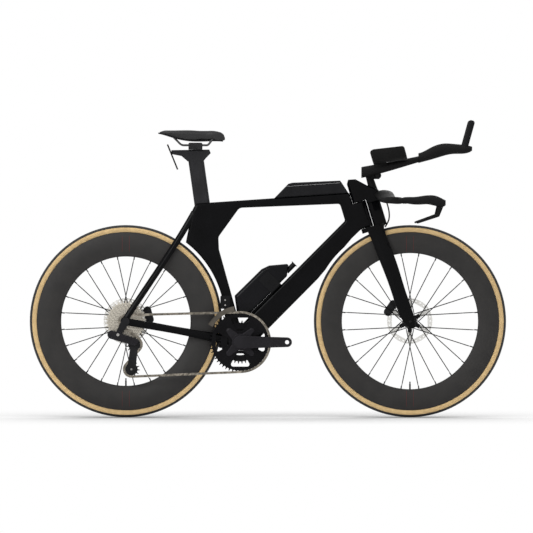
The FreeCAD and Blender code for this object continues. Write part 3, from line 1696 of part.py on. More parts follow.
# Fork and stem
fork_sizes = {
    "fork_chord": 62,
    "fork_blade_thickness": 17,
    "fork_root_side": 27,
    "fork_tip_side": 57,
    "crown_depth": 16,
    "crown_ahead": 26,
    "crown_half_width": 35,
    "crown_tyre_side": 19,
    "nose_length": 47,
    "nose_rear_radius": 14,
    "nose_tip_radius": 9,
    "nose_gap": 1,
    "nose_drop": 15,
    "stem_rise": 86,
    "stem_front": 74,
    "stem_width": 44,
    "stem_round": 6,
    "steerer_reach": 50,
}
add_sizes(fork_sizes)

# Blade stations: height share of the head's foot, rear and front chord shares, spread share, thickness share.
fork_blade_shares = [
    (0.98, -0.10, 0.90, 0.00, 1.00),
    (0.78, 0.02, 0.89, 0.10, 1.00),
    (0.60, 0.11, 0.97, 0.32, 1.00),
    (0.30, 0.21, 0.98, 0.66, 0.94),
    (0.04, 0.32, 1.02, 1.00, 0.80),
    (-0.07, 0.61, 0.90, 1.00, 0.70),
]
stem_shares = [(-1.00, 0.83), (-0.67, 1.00), (0.10, 0.93), (0.53, 0.56), (1.00, 0.24)]


def fork_blade():
    sections = []
    for up, rear, front, spread, thick in fork_blade_shares:
        side = dim.fork_root_side + spread * (dim.fork_tip_side - dim.fork_root_side)
        centre = vec((rear + front) / 2 * dim.fork_chord, side, up * dim.head_bottom)
        long = vec((front - rear) / 2 * dim.fork_chord, 0, 0)
        sections.append((centre, long, vec(0, thick * dim.fork_blade_thickness / 2, 0)))
    return oval_loft(sections)


def plan_hull(start, start_radius, end, end_radius, low, high):
    """A teardrop in plan between two distances ahead of the steering axis, from low to high."""
    face = hull_face(vec(start, 0, 0), start_radius, vec(end, 0, 0), end_radius)
    face.rotate(vec(0, 0, 0), vec(1, 0, 0), 90)
    face.translate(vec(0, 0, low))
    return face.extrude(vec(0, 0, high - low))


def fork_shape():
    """Crown, two blades, the nose in front of the head, and the steerer inside it."""
    top = dim.head_bottom - dim.running_gap
    crown = plan_hull(
        0, dim.crown_rear_radius, dim.crown_ahead, dim.crown_half_width, top - dim.crown_depth, top
    )
    swept = dim.tyre_radius + dim.tyre_clearance
    room = disc(dim.fork_rake, -dim.crown_tyre_side, 0, swept, 2 * dim.crown_tyre_side)
    nose_rear = dim.head_tube_radius + dim.nose_gap
    nose = plan_hull(
        nose_rear + dim.nose_rear_radius, dim.nose_rear_radius,
        nose_rear + dim.nose_length - dim.nose_tip_radius, dim.nose_tip_radius,
        top - dim.crown_depth / 2, dim.head_top - dim.nose_drop,
    )
    foot = top - dim.crown_depth / 2
    steerer = Part.makeCylinder(dim.steerer_radius, dim.head_top + dim.steerer_reach - foot, vec(0, 0, foot))
    blade = fork_blade()
    solid = joined([crown, blade, mirrored(blade), nose, steerer]).cut(room)
    reach = 2 * dim.front_hub_width
    hole = disc(dim.fork_rake, -reach, 0, dim.axle_radius + dim.seat_gap, 2 * reach)
    wide = dim.front_hub_width
    hub_room = disc(dim.fork_rake, -wide / 2, 0, dim.hub_flange_radius + dim.spoke_circle, wide)
    seat = dim.front_hub_width / 2 + dim.dropout_thickness
    head_room = disc(dim.fork_rake, seat, 0, dim.axle_head_radius + dim.running_gap, reach)
    return on_steering(solid.cut(hole).cut(hub_room).cut(head_room))


fork = fork_shape()
node("fork", fork)


def stem_shape():
    """A block on the steerer, round behind the steering axis, that reaches forward to the bar."""
    foot = dim.head_top + dim.running_gap
    lip = dim.head_tube_radius + dim.nose_gap
    outline = [(-dim.stem_rear_radius, foot, 0)]
    for ahead, up in stem_shares:
        reach = dim.stem_rear_radius if ahead < 0 else dim.stem_front
        outline.append((ahead * reach, dim.head_top + up * dim.stem_rise, 0))
    outline += [
        (dim.stem_front, dim.head_top - dim.nose_drop, 0),
        (lip, dim.head_top - dim.nose_drop, 0),
        (lip, foot, 0),
    ]
    half = dim.stem_width / 2
    block = rounded_slab(outline, half, dim.stem_round)
    over = dim.stem_rise + dim.stem_front
    post = Part.makeCylinder(dim.stem_rear_radius, 2 * over, vec(0, 0, dim.head_top - over / 2))
    front = Part.makeBox(over, dim.stem_width, 2 * over, vec(0, -half, dim.head_top - over / 2))
    block = block.common(post.fuse(front))
    depth = dim.head_top + dim.steerer_reach
    return on_steering(block.cut(Part.makeCylinder(dim.steerer_radius + dim.seat_gap, depth)))


stem = stem_shape()
node("stem", stem)


# Base bar, grips and brake levers
bar_sizes = {
    "bar_half_span": 190,
    "bar_chord": 68,
    "bar_thickness": 30,
    "bar_ahead": 88,
    "bar_up": 455,
    "bar_sweep": 47,
    "bar_drop": 22.5,
    "horn_radius": 10,
    "horn_length": 115,
    "grip_start": 23,
    "grip_length": 143,
    "grip_height": 34,
    "grip_width": 30,
    "lever_width": 9,
    "lever_slot": 1,
    "lever_inset": 13,
    "lever_pivot_drop": 12,
    "lever_head_radius": 8,
    "lever_knee_radius": 5,
    "lever_tip_radius": 3.5,
    "lever_fall": 40,
    "lever_set": 13,
    "lever_reach": 72,
    "lever_tip_fall": 25,
}
add_sizes(bar_sizes)

# Half of the bar: share of the half span, sweep share, drop share, chord share, thickness share.
bar_shares = [
    (0.00, 0.00, 0.00, 1.00, 1.00),
    (0.32, 0.10, 0.40, 0.98, 0.88),
    (0.78, 0.40, 0.90, 0.88, 0.80),
    (1.00, 1.00, 1.00, 0.76, 0.80),
]
# Grip stations: share of the length, rise share of the height, height share, width share.
grip_shares = [
    (0.00, -0.02, 0.68, 0.74),
    (0.20, 0.00, 0.75, 0.82),
    (0.43, 0.03, 0.86, 0.93),
    (0.70, 0.05, 0.99, 1.00),
    (0.86, -0.16, 0.99, 0.96),
    (1.00, -0.24, 0.55, 0.60),
]
bar_middle = steer_point(dim.bar_ahead, 0, dim.bar_up)
horn_x = bar_middle.x + dim.bar_sweep
horn_z = bar_middle.z - dim.bar_drop


def basebar_shape():
    """A wing across the bike that sweeps forward into two horns."""
    stations = [(-span, *rest) for span, *rest in reversed(bar_shares[1:])] + bar_shares
    sections = []
    for span, sweep, drop, chord, thick in stations:
        centre = vec(
            bar_middle.x + sweep * dim.bar_sweep,
            span * dim.bar_half_span,
            bar_middle.z - drop * dim.bar_drop,
        )
        half_chord = vec(chord * dim.bar_chord / 2, 0, 0)
        sections.append((centre, half_chord, vec(0, 0, thick * dim.bar_thickness / 2)))
    parts = [oval_loft(sections)]
    for side in (-dim.bar_half_span, dim.bar_half_span):
        start = vec(horn_x, side, horn_z)
        parts.append(rod(start, start + vec(dim.horn_length, 0, 0), dim.horn_radius))
    return joined(parts).cut(stem).cut(fork)


basebar = basebar_shape()
node("basebar", basebar)
grip_x = horn_x + dim.grip_start
pivot_x = grip_x + dim.grip_length - dim.lever_inset
pivot_z = horn_z - dim.lever_pivot_drop


def hand_grip_shape():
    """A grip over the left horn, slotted at its front for the brake lever."""
    sections = []
    for along, rise, high, wide in grip_shares:
        centre = vec(grip_x + along * dim.grip_length, dim.bar_half_span, horn_z + rise * dim.grip_height)
        sections.append((centre, vec(0, 0, high * dim.grip_height / 2), vec(0, wide * dim.grip_width / 2, 0)))
    slot_half = dim.lever_width / 2 + dim.lever_slot / 2
    slot_rear = pivot_x - dim.lever_head_radius - dim.lever_inset
    slot_top = pivot_z + dim.lever_head_radius + dim.lever_slot
    corner = vec(slot_rear, dim.bar_half_span - slot_half, slot_top - dim.grip_height)
    slot = Part.makeBox(dim.grip_length, 2 * slot_half, dim.grip_height, corner)
    return biggest(oval_loft(sections).cut(slot).cut(basebar))


left_grip = hand_grip_shape()
node("hand_grips", Part.makeCompound([left_grip, mirrored(left_grip)]))


def brake_lever_shape():
    """The left lever: down from its pivot, then back under the grip to a finger tip."""
    right = dim.bar_half_span - dim.lever_width / 2
    left = right + dim.lever_width
    knee = (pivot_x - dim.lever_set, pivot_z - dim.lever_fall)
    tip = (knee[0] - dim.lever_reach, knee[1] - dim.lever_tip_fall)
    return joined([
        hull((pivot_x, pivot_z), dim.lever_head_radius, knee, dim.lever_knee_radius, right, left),
        hull(knee, dim.lever_knee_radius, tip, dim.lever_tip_radius, right, left),
    ])


left_lever = brake_lever_shape()
node("left_brake_lever", left_lever)
node("right_brake_lever", mirrored(left_lever))


# Aerobars
aerobar_sizes = {
    "mast_ahead": 57,
    "mast_pivot_up": 534,
    "mast_pivot_radius": 13,
    "mast_chord": 36,
    "mast_width": 25,
    "mast_top_share": 0.72,
    "mast_sink": 14,
    "mast_bolt_radius": 4,
    "cheek_thickness": 9,
    "cheek_reach": 30,
    "bridge_ahead": 23,
    "bridge_depth": 13,
    "bridge_height": 26,
    "extension_side": 62,
    "extension_length": 388,
    "extension_rise": 94,
    "extension_height": 45,
    "extension_width": 34,
    "extension_setback": 26,
    "stick_length": 90,
    "stick_lean": 25,
    "stick_radius": 11,
    "stick_setback": 27,
    "stick_sink": 8,
    "button_radius": 6,
    "button_pocket": 8,
    "button_proud": 3,
    "button_travel": 1.5,
    "cup_side": 100,
    "cup_radius": 50,
    "cup_wall": 3.5,
    "cup_length": 126,
    "cup_tilt_deg": 6.5,
    "cup_rise": 40,
    "cup_ahead": 3.5,
    "cup_foot_drop": 65,
    "cup_corner": 10,
    "cup_lean": 8,
    "cup_foot_length": 44,
    "cup_foot_width": 24,
    "pad_thickness": 11,
    "pad_end_thickness": 6,
    "pad_margin": 7,
    "pad_half_deg": 62,
}
add_sizes(aerobar_sizes)

# Extension stations: share of the length, rise share, height share, width share.
# A straight bar at the rear runs into the deeper hand grip at the front.
bar_end_shares = [
    (0.00, 0.11, 0.86, 0.86),
    (0.11, 0.20, 0.82, 0.82),
    (0.31, 0.39, 0.66, 0.80),
    (0.56, 0.65, 0.46, 0.58),
]
hand_end_shares = [
    (0.52, 0.65, 0.78, 0.92),
    (0.62, 0.80, 0.93, 0.98),
    (0.72, 0.94, 1.00, 1.00),
    (0.81, 0.99, 0.82, 0.96),
    (0.91, 0.98, 0.70, 0.86),
    (0.97, 0.98, 0.54, 0.70),
    (1.00, 1.00, 0.30, 0.38),
]
pivot = steer_point(dim.mast_ahead, 0, dim.mast_pivot_up)
half_mast = dim.mast_width / 2


def mast_shape():
    """A short blade from the stem up to the round head that the aerobars tilt about."""
    foot = steer_point(dim.mast_ahead, 0, dim.head_top - dim.mast_sink)
    sections = []
    for place, chord in ((foot, 1), (pivot, dim.mast_top_share)):
        long = vec(chord * dim.mast_chord / 2, 0, 0)
        sections.append((place, long, vec(0, half_mast, 0)))
    head = disc(pivot.x, -half_mast, pivot.z, dim.mast_pivot_radius, dim.mast_width)
    bolt = disc(pivot.x, -dim.mast_width, pivot.z, dim.mast_bolt_radius + dim.running_gap, 2 * dim.mast_width)
    return biggest(joined([oval_loft(sections), head]).cut(stem).cut(basebar).cut(bolt))


node("aerobar_mast", mast_shape())
extension_x = pivot.x - dim.extension_setback
cup_frame = FreeCAD.Placement(
    vec(pivot.x + dim.cup_ahead, dim.cup_side, pivot.z + dim.cup_rise + dim.cup_radius),
    FreeCAD.Rotation(vec(0, 1, 0), -dim.cup_tilt_deg),
)


def extension_run(stations):
    sections = []
    for along, rise, high, wide in stations:
        centre = vec(
            extension_x + along * dim.extension_length,
            dim.extension_side,
            pivot.z + rise * dim.extension_rise,
        )
        long = vec(0, 0, high * dim.extension_height / 2)
        sections.append((centre, long, vec(0, wide * dim.extension_width / 2, 0)))
    return oval_loft(sections)


left_arm = joined([extension_run(bar_end_shares), extension_run(hand_end_shares)])


def extensions_shape():
    """Both arms, the bridge between them and the cheeks and bolt on the mast's head."""
    bridge_x = pivot.x + dim.bridge_ahead
    bridge = Part.makeBox(
        dim.bridge_depth, 2 * dim.extension_side, dim.bridge_height,
        vec(bridge_x, -dim.extension_side, pivot.z - dim.bridge_height / 2),
    )
    near = half_mast + dim.running_gap
    far = near + dim.cheek_thickness
    spot = (pivot.x + dim.cheek_reach, pivot.z)
    cheek = hull((pivot.x, pivot.z), dim.mast_pivot_radius, spot, dim.mast_pivot_radius, near, far)
    bolt = disc(pivot.x, -far, pivot.z, dim.mast_bolt_radius, 2 * far)
    return joined([left_arm, mirrored(left_arm), bridge, cheek, mirrored(cheek), bolt])


node("extensions", extensions_shape())
stick_foot = vec(
    extension_x + dim.extension_length - dim.stick_setback, dim.extension_side, pivot.z + dim.extension_rise
)
stick_way = vec(dim.stick_lean, 0, dim.stick_length)
stick_tip = stick_foot + stick_way
stick_up = vec(stick_way.x, 0, stick_way.z).normalize()


def stick_shape():
    """The left stick grip: round-ended, with a pocket for its button."""
    start = stick_foot - stick_up * dim.stick_sink
    ball = Part.makeSphere(dim.stick_radius, stick_tip)
    solid = rod(start, stick_tip, dim.stick_radius).fuse(ball).removeSplitter()
    floor = stick_tip + stick_up * (dim.stick_radius - dim.button_pocket)
    pocket = rod(floor, floor + stick_up * dim.stick_radius, dim.button_radius + dim.running_gap)
    return biggest(solid.cut(pocket).cut(left_arm))


def button_shape():
    floor = stick_tip + stick_up * (dim.stick_radius - dim.button_pocket)
    start = floor + stick_up * (dim.button_travel + dim.running_gap)
    end = stick_tip + stick_up * (dim.stick_radius - dim.button_proud / 2)
    return rod(start, end, dim.button_radius)


left_stick = stick_shape()
node("extension_grips", Part.makeCompound([left_stick, mirrored(left_stick)]))
left_button = button_shape()
node("left_shift_button", left_button)
node("right_shift_button", mirrored(left_button))


def on_cup(shape):
    shape.Placement = cup_frame.multiply(shape.Placement)
    return shape


def arm_cup_shape():
    """The left arm rest: half a round gutter with slanted ends and a foot on the extension."""
    axis = vec(1, 0, 0)
    length = dim.cup_length
    outer = Part.makeCylinder(dim.cup_radius, length, vec(0, 0, 0), axis)
    inner = Part.makeCylinder(dim.cup_radius - dim.cup_wall, length, vec(0, 0, 0), axis)
    side_view = [
        (dim.cup_lean, -dim.cup_radius, 0),
        (0, 0, dim.cup_corner),
        (length - dim.cup_lean, 0, dim.cup_corner),
        (length, -dim.cup_radius, 0),
    ]
    gutter = on_cup(outer.cut(inner).common(slab(side_view, -dim.cup_radius, dim.cup_radius)))
    foot = Part.makeBox(
        dim.cup_foot_length, dim.cup_foot_width, dim.cup_radius,
        vec(dim.cup_lean, dim.extension_side - dim.cup_side - dim.cup_foot_width / 2, -dim.cup_foot_drop),
    )
    hollow = Part.makeCylinder(dim.cup_radius - dim.cup_wall / 2, length, vec(0, 0, 0), axis)
    foot = on_cup(foot.cut(hollow)).cut(left_arm)
    return joined([gutter, biggest(foot)])


def pad_section(along, thickness):
    """A crescent that lies in the gutter, thickest at its floor."""
    outer = dim.cup_radius - dim.cup_wall - dim.running_gap
    half = math.radians(dim.pad_half_deg)
    tip = outer - dim.pad_end_thickness / 2

    def on(radius, angle):
        return vec(along, radius * math.sin(angle), -radius * math.cos(angle))

    edges = [
        Part.Arc(on(outer, -half), on(outer, 0), on(outer, half)).toShape(),
        Part.LineSegment(on(outer, half), on(tip, half)).toShape(),
        Part.Arc(on(tip, half), on(outer - thickness, 0), on(tip, -half)).toShape(),
        Part.LineSegment(on(tip, -half), on(outer, -half)).toShape(),
    ]
    return Part.Wire(edges)


# Pad stations: share of the length and share of the crown.
pad_shares = [(0, 0), (0.15, 1), (0.85, 1), (1, 0)]


def arm_pad_shape():
    start = dim.cup_lean + dim.pad_margin
    length = dim.cup_length - dim.cup_lean - 2 * dim.pad_margin
    crown = dim.pad_thickness - dim.pad_end_thickness
    wires = []
    for along, full in pad_shares:
        wires.append(pad_section(start + along * length, dim.pad_end_thickness + full * crown))
    return on_cup(Part.makeLoft(wires, True, False))


left_cup = arm_cup_shape()
left_pad = arm_pad_shape()
node("arm_cups", Part.makeCompound([left_cup, mirrored(left_cup)]))
node("arm_pads", Part.makeCompound([left_pad, mirrored(left_pad)]))


# Brakes
brake_sizes = {
    "caliper_width": 24,
    "caliper_radius": 14,
    "caliper_length": 34,
    "caliper_slot": 5,
    "caliper_reach": 82,
    "front_caliper_deg": 146,
    "rear_caliper_deg": 15,
    "hose_radius": 2.5,
    "hose_ahead": 90,
    "hose_drop": 97,
    "hose_bend_share": 0.45,
    "caliper_end_share": 0.999,
}
add_sizes(brake_sizes)


def caliper_shape(axle_x, angle_deg, rotor_side, mount):
    """A rounded block around the rotor's edge, slotted for the rotor and cut to what it is bolted to."""
    angle = math.radians(angle_deg)
    way = vec(math.cos(angle), 0, math.sin(angle))
    along = vec(-way.z, 0, way.x) * (dim.caliper_length / 2)
    centre = vec(axle_x, 0, axle_z) + way * dim.caliper_reach
    right = rotor_side - dim.caliper_width / 2
    left = rotor_side + dim.caliper_width / 2
    block = hull(
        ((centre - along).x, (centre - along).z), dim.caliper_radius,
        ((centre + along).x, (centre + along).z), dim.caliper_radius * dim.caliper_end_share, right, left,
    )
    slot_radius = dim.rotor_radius + dim.caliper_slot / 2
    block = block.cut(disc(axle_x, rotor_side - dim.caliper_slot / 2, axle_z, slot_radius, dim.caliper_slot))
    for piece in mount:
        block = block.cut(piece)
    return biggest(block)


node("front_caliper", caliper_shape(front_x, dim.front_caliper_deg, dim.front_rotor_side, [fork]))
node("rear_caliper", caliper_shape(
    rear_x, dim.rear_caliper_deg, dim.rear_rotor_side, [left_chainstay, left_seatstay]
))

# The front hose hangs from the bar and runs in front of the nose into the crown:
# shares of its distance ahead of the steering axis and of its drop below the bar.
hose_shares = [(0.98, 0.00), (1.00, 0.30), (0.957, 0.61), (0.843, 0.85), (0.643, 1.00)]
hose_top = dim.bar_up - dim.bar_thickness / 2
hose_route = []
for ahead, down in hose_shares:
    hose_route.append(steer_point(ahead * dim.hose_ahead, 0, hose_top - down * dim.hose_drop))
front_hose = hose(hose_route, dim.hose_radius, dim.hose_bend_share)
node("front_brake_hose", biggest(front_hose.cut(basebar).cut(fork).cut(stem)))


# Hand over
doc.recompute()
for item in doc.Objects:
    if "Invalid" in item.State or "Error" in item.State:
        raise RuntimeError(f"{item.Label} failed: {item.State}")
for piece in pieces:
    if piece.Shape.isNull() or not piece.Shape.isValid():
        raise RuntimeError(f"{piece.Label} has no valid shape")
os.makedirs("parts", exist_ok=True)
for piece in pieces:
    piece.Shape.exportStep(f"parts/{piece.Label}.step")
print(len(pieces), "sub-parts written")
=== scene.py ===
# %% [markdown]
# # A time trial bicycle, dressed in Blender
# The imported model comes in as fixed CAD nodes. This lesson gives each node a procedural material, swaps the soft
# pieces for padded ones, adds the small fittings, and sets up a white studio with one long-lens camera.

# %% Load the frame
import bpy
import bmesh
import math
from mathutils import Vector, Matrix


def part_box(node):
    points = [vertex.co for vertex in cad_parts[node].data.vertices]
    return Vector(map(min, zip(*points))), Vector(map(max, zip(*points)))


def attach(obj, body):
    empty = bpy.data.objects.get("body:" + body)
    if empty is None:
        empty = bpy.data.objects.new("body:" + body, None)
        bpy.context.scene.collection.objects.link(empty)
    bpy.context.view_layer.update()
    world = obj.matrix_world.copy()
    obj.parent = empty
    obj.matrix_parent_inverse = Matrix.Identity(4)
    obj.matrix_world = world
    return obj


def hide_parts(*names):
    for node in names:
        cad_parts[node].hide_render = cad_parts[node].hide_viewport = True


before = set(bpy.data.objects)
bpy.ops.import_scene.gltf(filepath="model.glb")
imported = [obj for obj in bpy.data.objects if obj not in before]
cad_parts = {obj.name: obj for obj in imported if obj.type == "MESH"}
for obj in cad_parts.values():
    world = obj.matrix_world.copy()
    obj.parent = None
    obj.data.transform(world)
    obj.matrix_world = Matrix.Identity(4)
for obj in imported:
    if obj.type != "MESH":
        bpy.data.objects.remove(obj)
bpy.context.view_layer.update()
REAR = Vector((-0.501, 0.0, 0.339))
FRONT = Vector((0.501, 0.0, 0.339))
CRANK = Vector((-0.09755, 0.0, 0.266))

# %% [markdown]
# ## The camera comes first
# A catalogue side view is taken from far away with a long lens, so the far crank, lever and stick hide behind the near
# ones. Distance and lens together give 3.53 mm per pixel in the bicycle's mid plane.

# %% Camera
DISTANCE = 25.0
SENSOR_MM = 36.0
VIEW_WIDTH = 1.88
EYE = (-0.005, -DISTANCE, 0.76)
AIM = Vector((-0.005, 0.0, 0.5318))


def link(piece):
    bpy.context.scene.collection.objects.link(piece)


camera_data = bpy.data.cameras.new("camera")
camera_data.sensor_width = SENSOR_MM
camera_data.lens = SENSOR_MM * DISTANCE / VIEW_WIDTH
camera_data.clip_end = 200.0
camera = bpy.data.objects.new("camera", camera_data)
camera.location = EYE
camera.rotation_euler = (AIM - camera.location).to_track_quat("-Z", "Y").to_euler()
link(camera)
bpy.context.scene.camera = camera
print("camera", round(camera_data.lens), "mm at", DISTANCE, "m")

# %% [markdown]
# ## A small kit for materials
# Every material starts from the same two noises: a slow one that varies colour and roughness, and a fine one that
# becomes a bump. Object coordinates work because each node's mesh lies in place. Edges may be rounded by a bevel normal
# and given a paler painted highlight, and gaps may get painted shade from ambient occlusion.


# %% Material kit
SLOW_SCALE = 14.0
FINE_STRENGTH = 0.35
COAT_ROUGHNESS = 0.04


def new_material(name):
    material = bpy.data.materials.new(name)
    material.use_nodes = True
    nodes = material.node_tree.nodes
    return material, nodes, material.node_tree.links, nodes["Principled BSDF"]


def object_coordinates(nodes):
    return nodes.new("ShaderNodeTexCoord").outputs["Object"]


def noise(nodes, links, vector, scale, detail=4.0, roughness=0.55):
    node = nodes.new("ShaderNodeTexNoise")
    node.inputs["Scale"].default_value = scale
    node.inputs["Detail"].default_value = detail
    node.inputs["Roughness"].default_value = roughness
    links.new(vector, node.inputs["Vector"])
    return node.outputs["Fac"]


def ramp(nodes, links, factor, low, high, start=0.35, end=0.65):
    """A colour that goes from low to high while the factor goes from start to end."""
    node = nodes.new("ShaderNodeValToRGB")
    node.color_ramp.elements[0].position = start
    node.color_ramp.elements[0].color = (*low, 1.0)
    node.color_ramp.elements[1].position = end
    node.color_ramp.elements[1].color = (*high, 1.0)
    links.new(factor, node.inputs["Fac"])
    return node.outputs["Color"]


def spread(nodes, links, factor, low, high):
    """Stretches the middle of a noise over a range of values."""
    node = nodes.new("ShaderNodeMapRange")
    node.inputs["From Min"].default_value = 0.3
    node.inputs["From Max"].default_value = 0.7
    node.inputs["To Min"].default_value = low
    node.inputs["To Max"].default_value = high
    links.new(factor, node.inputs["Value"])
    return node.outputs["Result"]


def bump(nodes, links, height, strength, distance, shader, under=None):
    node = nodes.new("ShaderNodeBump")
    node.inputs["Strength"].default_value = strength
    node.inputs["Distance"].default_value = distance
    links.new(height, node.inputs["Height"])
    if under is not None:
        links.new(under, node.inputs["Normal"])
    links.new(node.outputs["Normal"], shader.inputs["Normal"])


def shade(colour, share):
    return tuple(channel * share for channel in colour)


def math_node(nodes, links, kind, *values):
    node = nodes.new("ShaderNodeMath")
    node.operation = kind
    for index, value in enumerate(values):
        if isinstance(value, (int, float)):
            node.inputs[index].default_value = value
        else:
            links.new(value, node.inputs[index])
    return node.outputs[0]


def mix_colour(nodes, links, factor, first, second):
    node = nodes.new("ShaderNodeMix")
    node.data_type = "RGBA"
    links.new(factor, node.inputs["Factor"])
    for socket, value in ((node.inputs[6], first), (node.inputs[7], second)):
        if isinstance(value, tuple):
            socket.default_value = (*value, 1.0)
        else:
            links.new(value, socket)
    return node.outputs[2]


def gap_shade_mask(nodes, links, reach):
    """Near 0 in narrow gaps, where shade is painted into the colour, and 1 on open faces."""
    node = nodes.new("ShaderNodeAmbientOcclusion")
    node.samples = 8
    node.inputs["Distance"].default_value = reach
    return spread(nodes, links, node.outputs["AO"], 0.0, 1.0)


def edges(nodes, links, radius):
    """A normal that rounds sharp edges off, and a mask that is 1 along them, for a painted highlight."""
    rounded = nodes.new("ShaderNodeBevel")
    rounded.samples = 4
    rounded.inputs["Radius"].default_value = radius
    turn = nodes.new("ShaderNodeVectorMath")
    turn.operation = "DOT_PRODUCT"
    links.new(rounded.outputs["Normal"], turn.inputs[0])
    links.new(nodes.new("ShaderNodeNewGeometry").outputs["Normal"], turn.inputs[1])
    bent = math_node(nodes, links, "SUBTRACT", 1.0, turn.outputs["Value"])
    return rounded.outputs["Normal"], math_node(nodes, links, "MULTIPLY", bent, 2.0)


def surface(name, colour, rough, metallic=0.0, coat=0.0, grain=900.0, depth=0.00005, vary=0.2, shine=0.5,
            gap_shade_reach=0.0, edge=0.0):
    """The general finish. The gap reach is how far shade is painted into gaps, and edge the radius of rounded edges
    with a painted highlight.
    """
    material, nodes, links, shader = new_material(name)
    place = object_coordinates(nodes)
    slow = noise(nodes, links, place, SLOW_SCALE)
    fine = noise(nodes, links, place, grain, 2.0)
    tint = ramp(nodes, links, slow, shade(colour, 1 - vary), shade(colour, 1 + vary))
    if gap_shade_reach > 0.0:
        each = nodes.new("ShaderNodeNewGeometry").outputs["Random Per Island"]
        tint = mix_colour(nodes, links, each, shade(colour, 0.3), tint)
        # painted shade: in gaps within the reach the colour darkens towards a tenth of itself
        tint = mix_colour(nodes, links, gap_shade_mask(nodes, links, gap_shade_reach), shade(colour, 0.1), tint)
    rounded = None
    if edge > 0.0:
        rounded, edge_highlight = edges(nodes, links, edge)
        # painted highlight: along the rounded edges the colour is painted four times paler
        tint = mix_colour(nodes, links, edge_highlight, tint, shade(colour, 4.0))
    links.new(tint, shader.inputs["Base Color"])
    links.new(spread(nodes, links, slow, rough[0], rough[1]), shader.inputs["Roughness"])
    bump(nodes, links, fine, FINE_STRENGTH, depth, shader, rounded)
    shader.inputs["Metallic"].default_value = metallic
    shader.inputs["Specular IOR Level"].default_value = shine
    shader.inputs["Coat Weight"].default_value = coat
    shader.inputs["Coat Roughness"].default_value = COAT_ROUGHNESS
    return material


print("material kit ready")

# %% [markdown]
# ## Plain finishes
# Gloss paint has a thin clear coat over near-black. Moulded carbon, anodised alloy, grained plastic and rubber differ
# in roughness, grain size and how strongly they reflect.

# %% Plain finishes
paint = surface("gloss_black_paint", (0.0022, 0.0022, 0.0026), (0.16, 0.3), coat=0.1, grain=2600.0, depth=0.00001,
                shine=0.02)
carbon = surface("matte_carbon", (0.007, 0.0068, 0.0068), (0.55, 0.7), grain=1500.0, shine=0.1)
post_carbon = surface("post_carbon", (0.016, 0.016, 0.0175), (0.48, 0.62), grain=1400.0, shine=0.12)
alloy = surface("black_anodised", (0.017, 0.017, 0.018), (0.28, 0.42), metallic=0.7, shine=0.15, grain=2200.0,
                depth=0.00002, edge=0.0012)
spoke_black = surface("spoke_black", (0.005, 0.005, 0.005), (0.4, 0.55), grain=1800.0, depth=0.00002, shine=0.08)
plastic = surface("grained_plastic", (0.006, 0.006, 0.0065), (0.38, 0.55), grain=1700.0, shine=0.08)
shell_plastic = surface("shell_plastic", (0.009, 0.009, 0.01), (0.4, 0.55), grain=1300.0, shine=0.08)
gloss_plastic = surface("bottle_plastic", (0.004, 0.004, 0.005), (0.12, 0.2), grain=700.0, depth=0.00003, shine=0.1)
rubber = surface("grip_rubber", (0.007, 0.007, 0.0075), (0.55, 0.72), grain=850.0, depth=0.0003, shine=0.1)
crank_grey = surface("crank_grey", (0.014, 0.0132, 0.0153), (0.28, 0.4), metallic=0.3, shine=0.1, grain=2000.0,
                     depth=0.00003, edge=0.0018)
ring_grey = surface("ring_grey", (0.0045, 0.0043, 0.005), (0.3, 0.45), metallic=0.1, shine=0.06, grain=2000.0,
                    depth=0.00003, edge=0.0014)
print("plain finishes:", len(bpy.data.materials), "materials so far")

# %% [markdown]
# ## Metals that show their making
# A rotor is ground in circles, so its scratches are noise stretched around the wheel: angle times a small number and
# radius times a large one. Chain and cassette are nickel-plated, a little warm, and like the rotors they have painted
# shade in the gaps between their parts.


# %% Ground and plated metal
def round_coordinates(nodes, links, centre):
    """The distance from a wheel's axle, and how far forward of it and above it a point lies."""
    parts = nodes.new("ShaderNodeSeparateXYZ")
    links.new(object_coordinates(nodes), parts.inputs[0])
    across = math_node(nodes, links, "SUBTRACT", parts.outputs["X"], centre.x)
    up = math_node(nodes, links, "SUBTRACT", parts.outputs["Z"], centre.z)
    squares = math_node(nodes, links, "MULTIPLY_ADD", across, across, math_node(nodes, links, "MULTIPLY", up, up))
    return math_node(nodes, links, "SQRT", squares), across, up


def ground_metal(name, centre, colour, rough, stretch=1400.0, carrier=0.0):
    """Metal ground in circles about an axle. Inside the carrier's radius it is black anodised."""
    material, nodes, links, shader = new_material(name)
    radius, across, up = round_coordinates(nodes, links, centre)
    turn = math_node(nodes, links, "ARCTAN2", up, across)
    place = nodes.new("ShaderNodeCombineXYZ")
    links.new(math_node(nodes, links, "MULTIPLY", radius, stretch), place.inputs["X"])
    links.new(math_node(nodes, links, "MULTIPLY", turn, 6.0), place.inputs["Y"])
    lines = noise(nodes, links, place.outputs[0], 1.0, 3.0)
    bright = ramp(nodes, links, lines, shade(colour, 0.75), shade(colour, 1.15))
    # painted shade: in gaps within 8 mm the ground metal darkens towards 0.15 of its colour
    bright = mix_colour(nodes, links, gap_shade_mask(nodes, links, 0.008), shade(colour, 0.15), bright)
    track = math_node(nodes, links, "GREATER_THAN", radius, carrier)
    links.new(mix_colour(nodes, links, track, (0.02, 0.02, 0.022), bright), shader.inputs["Base Color"])
    links.new(spread(nodes, links, lines, rough[0], rough[1]), shader.inputs["Roughness"])
    bump(nodes, links, lines, 0.25, 0.00004, shader)
    shader.inputs["Metallic"].default_value = 1.0
    return material


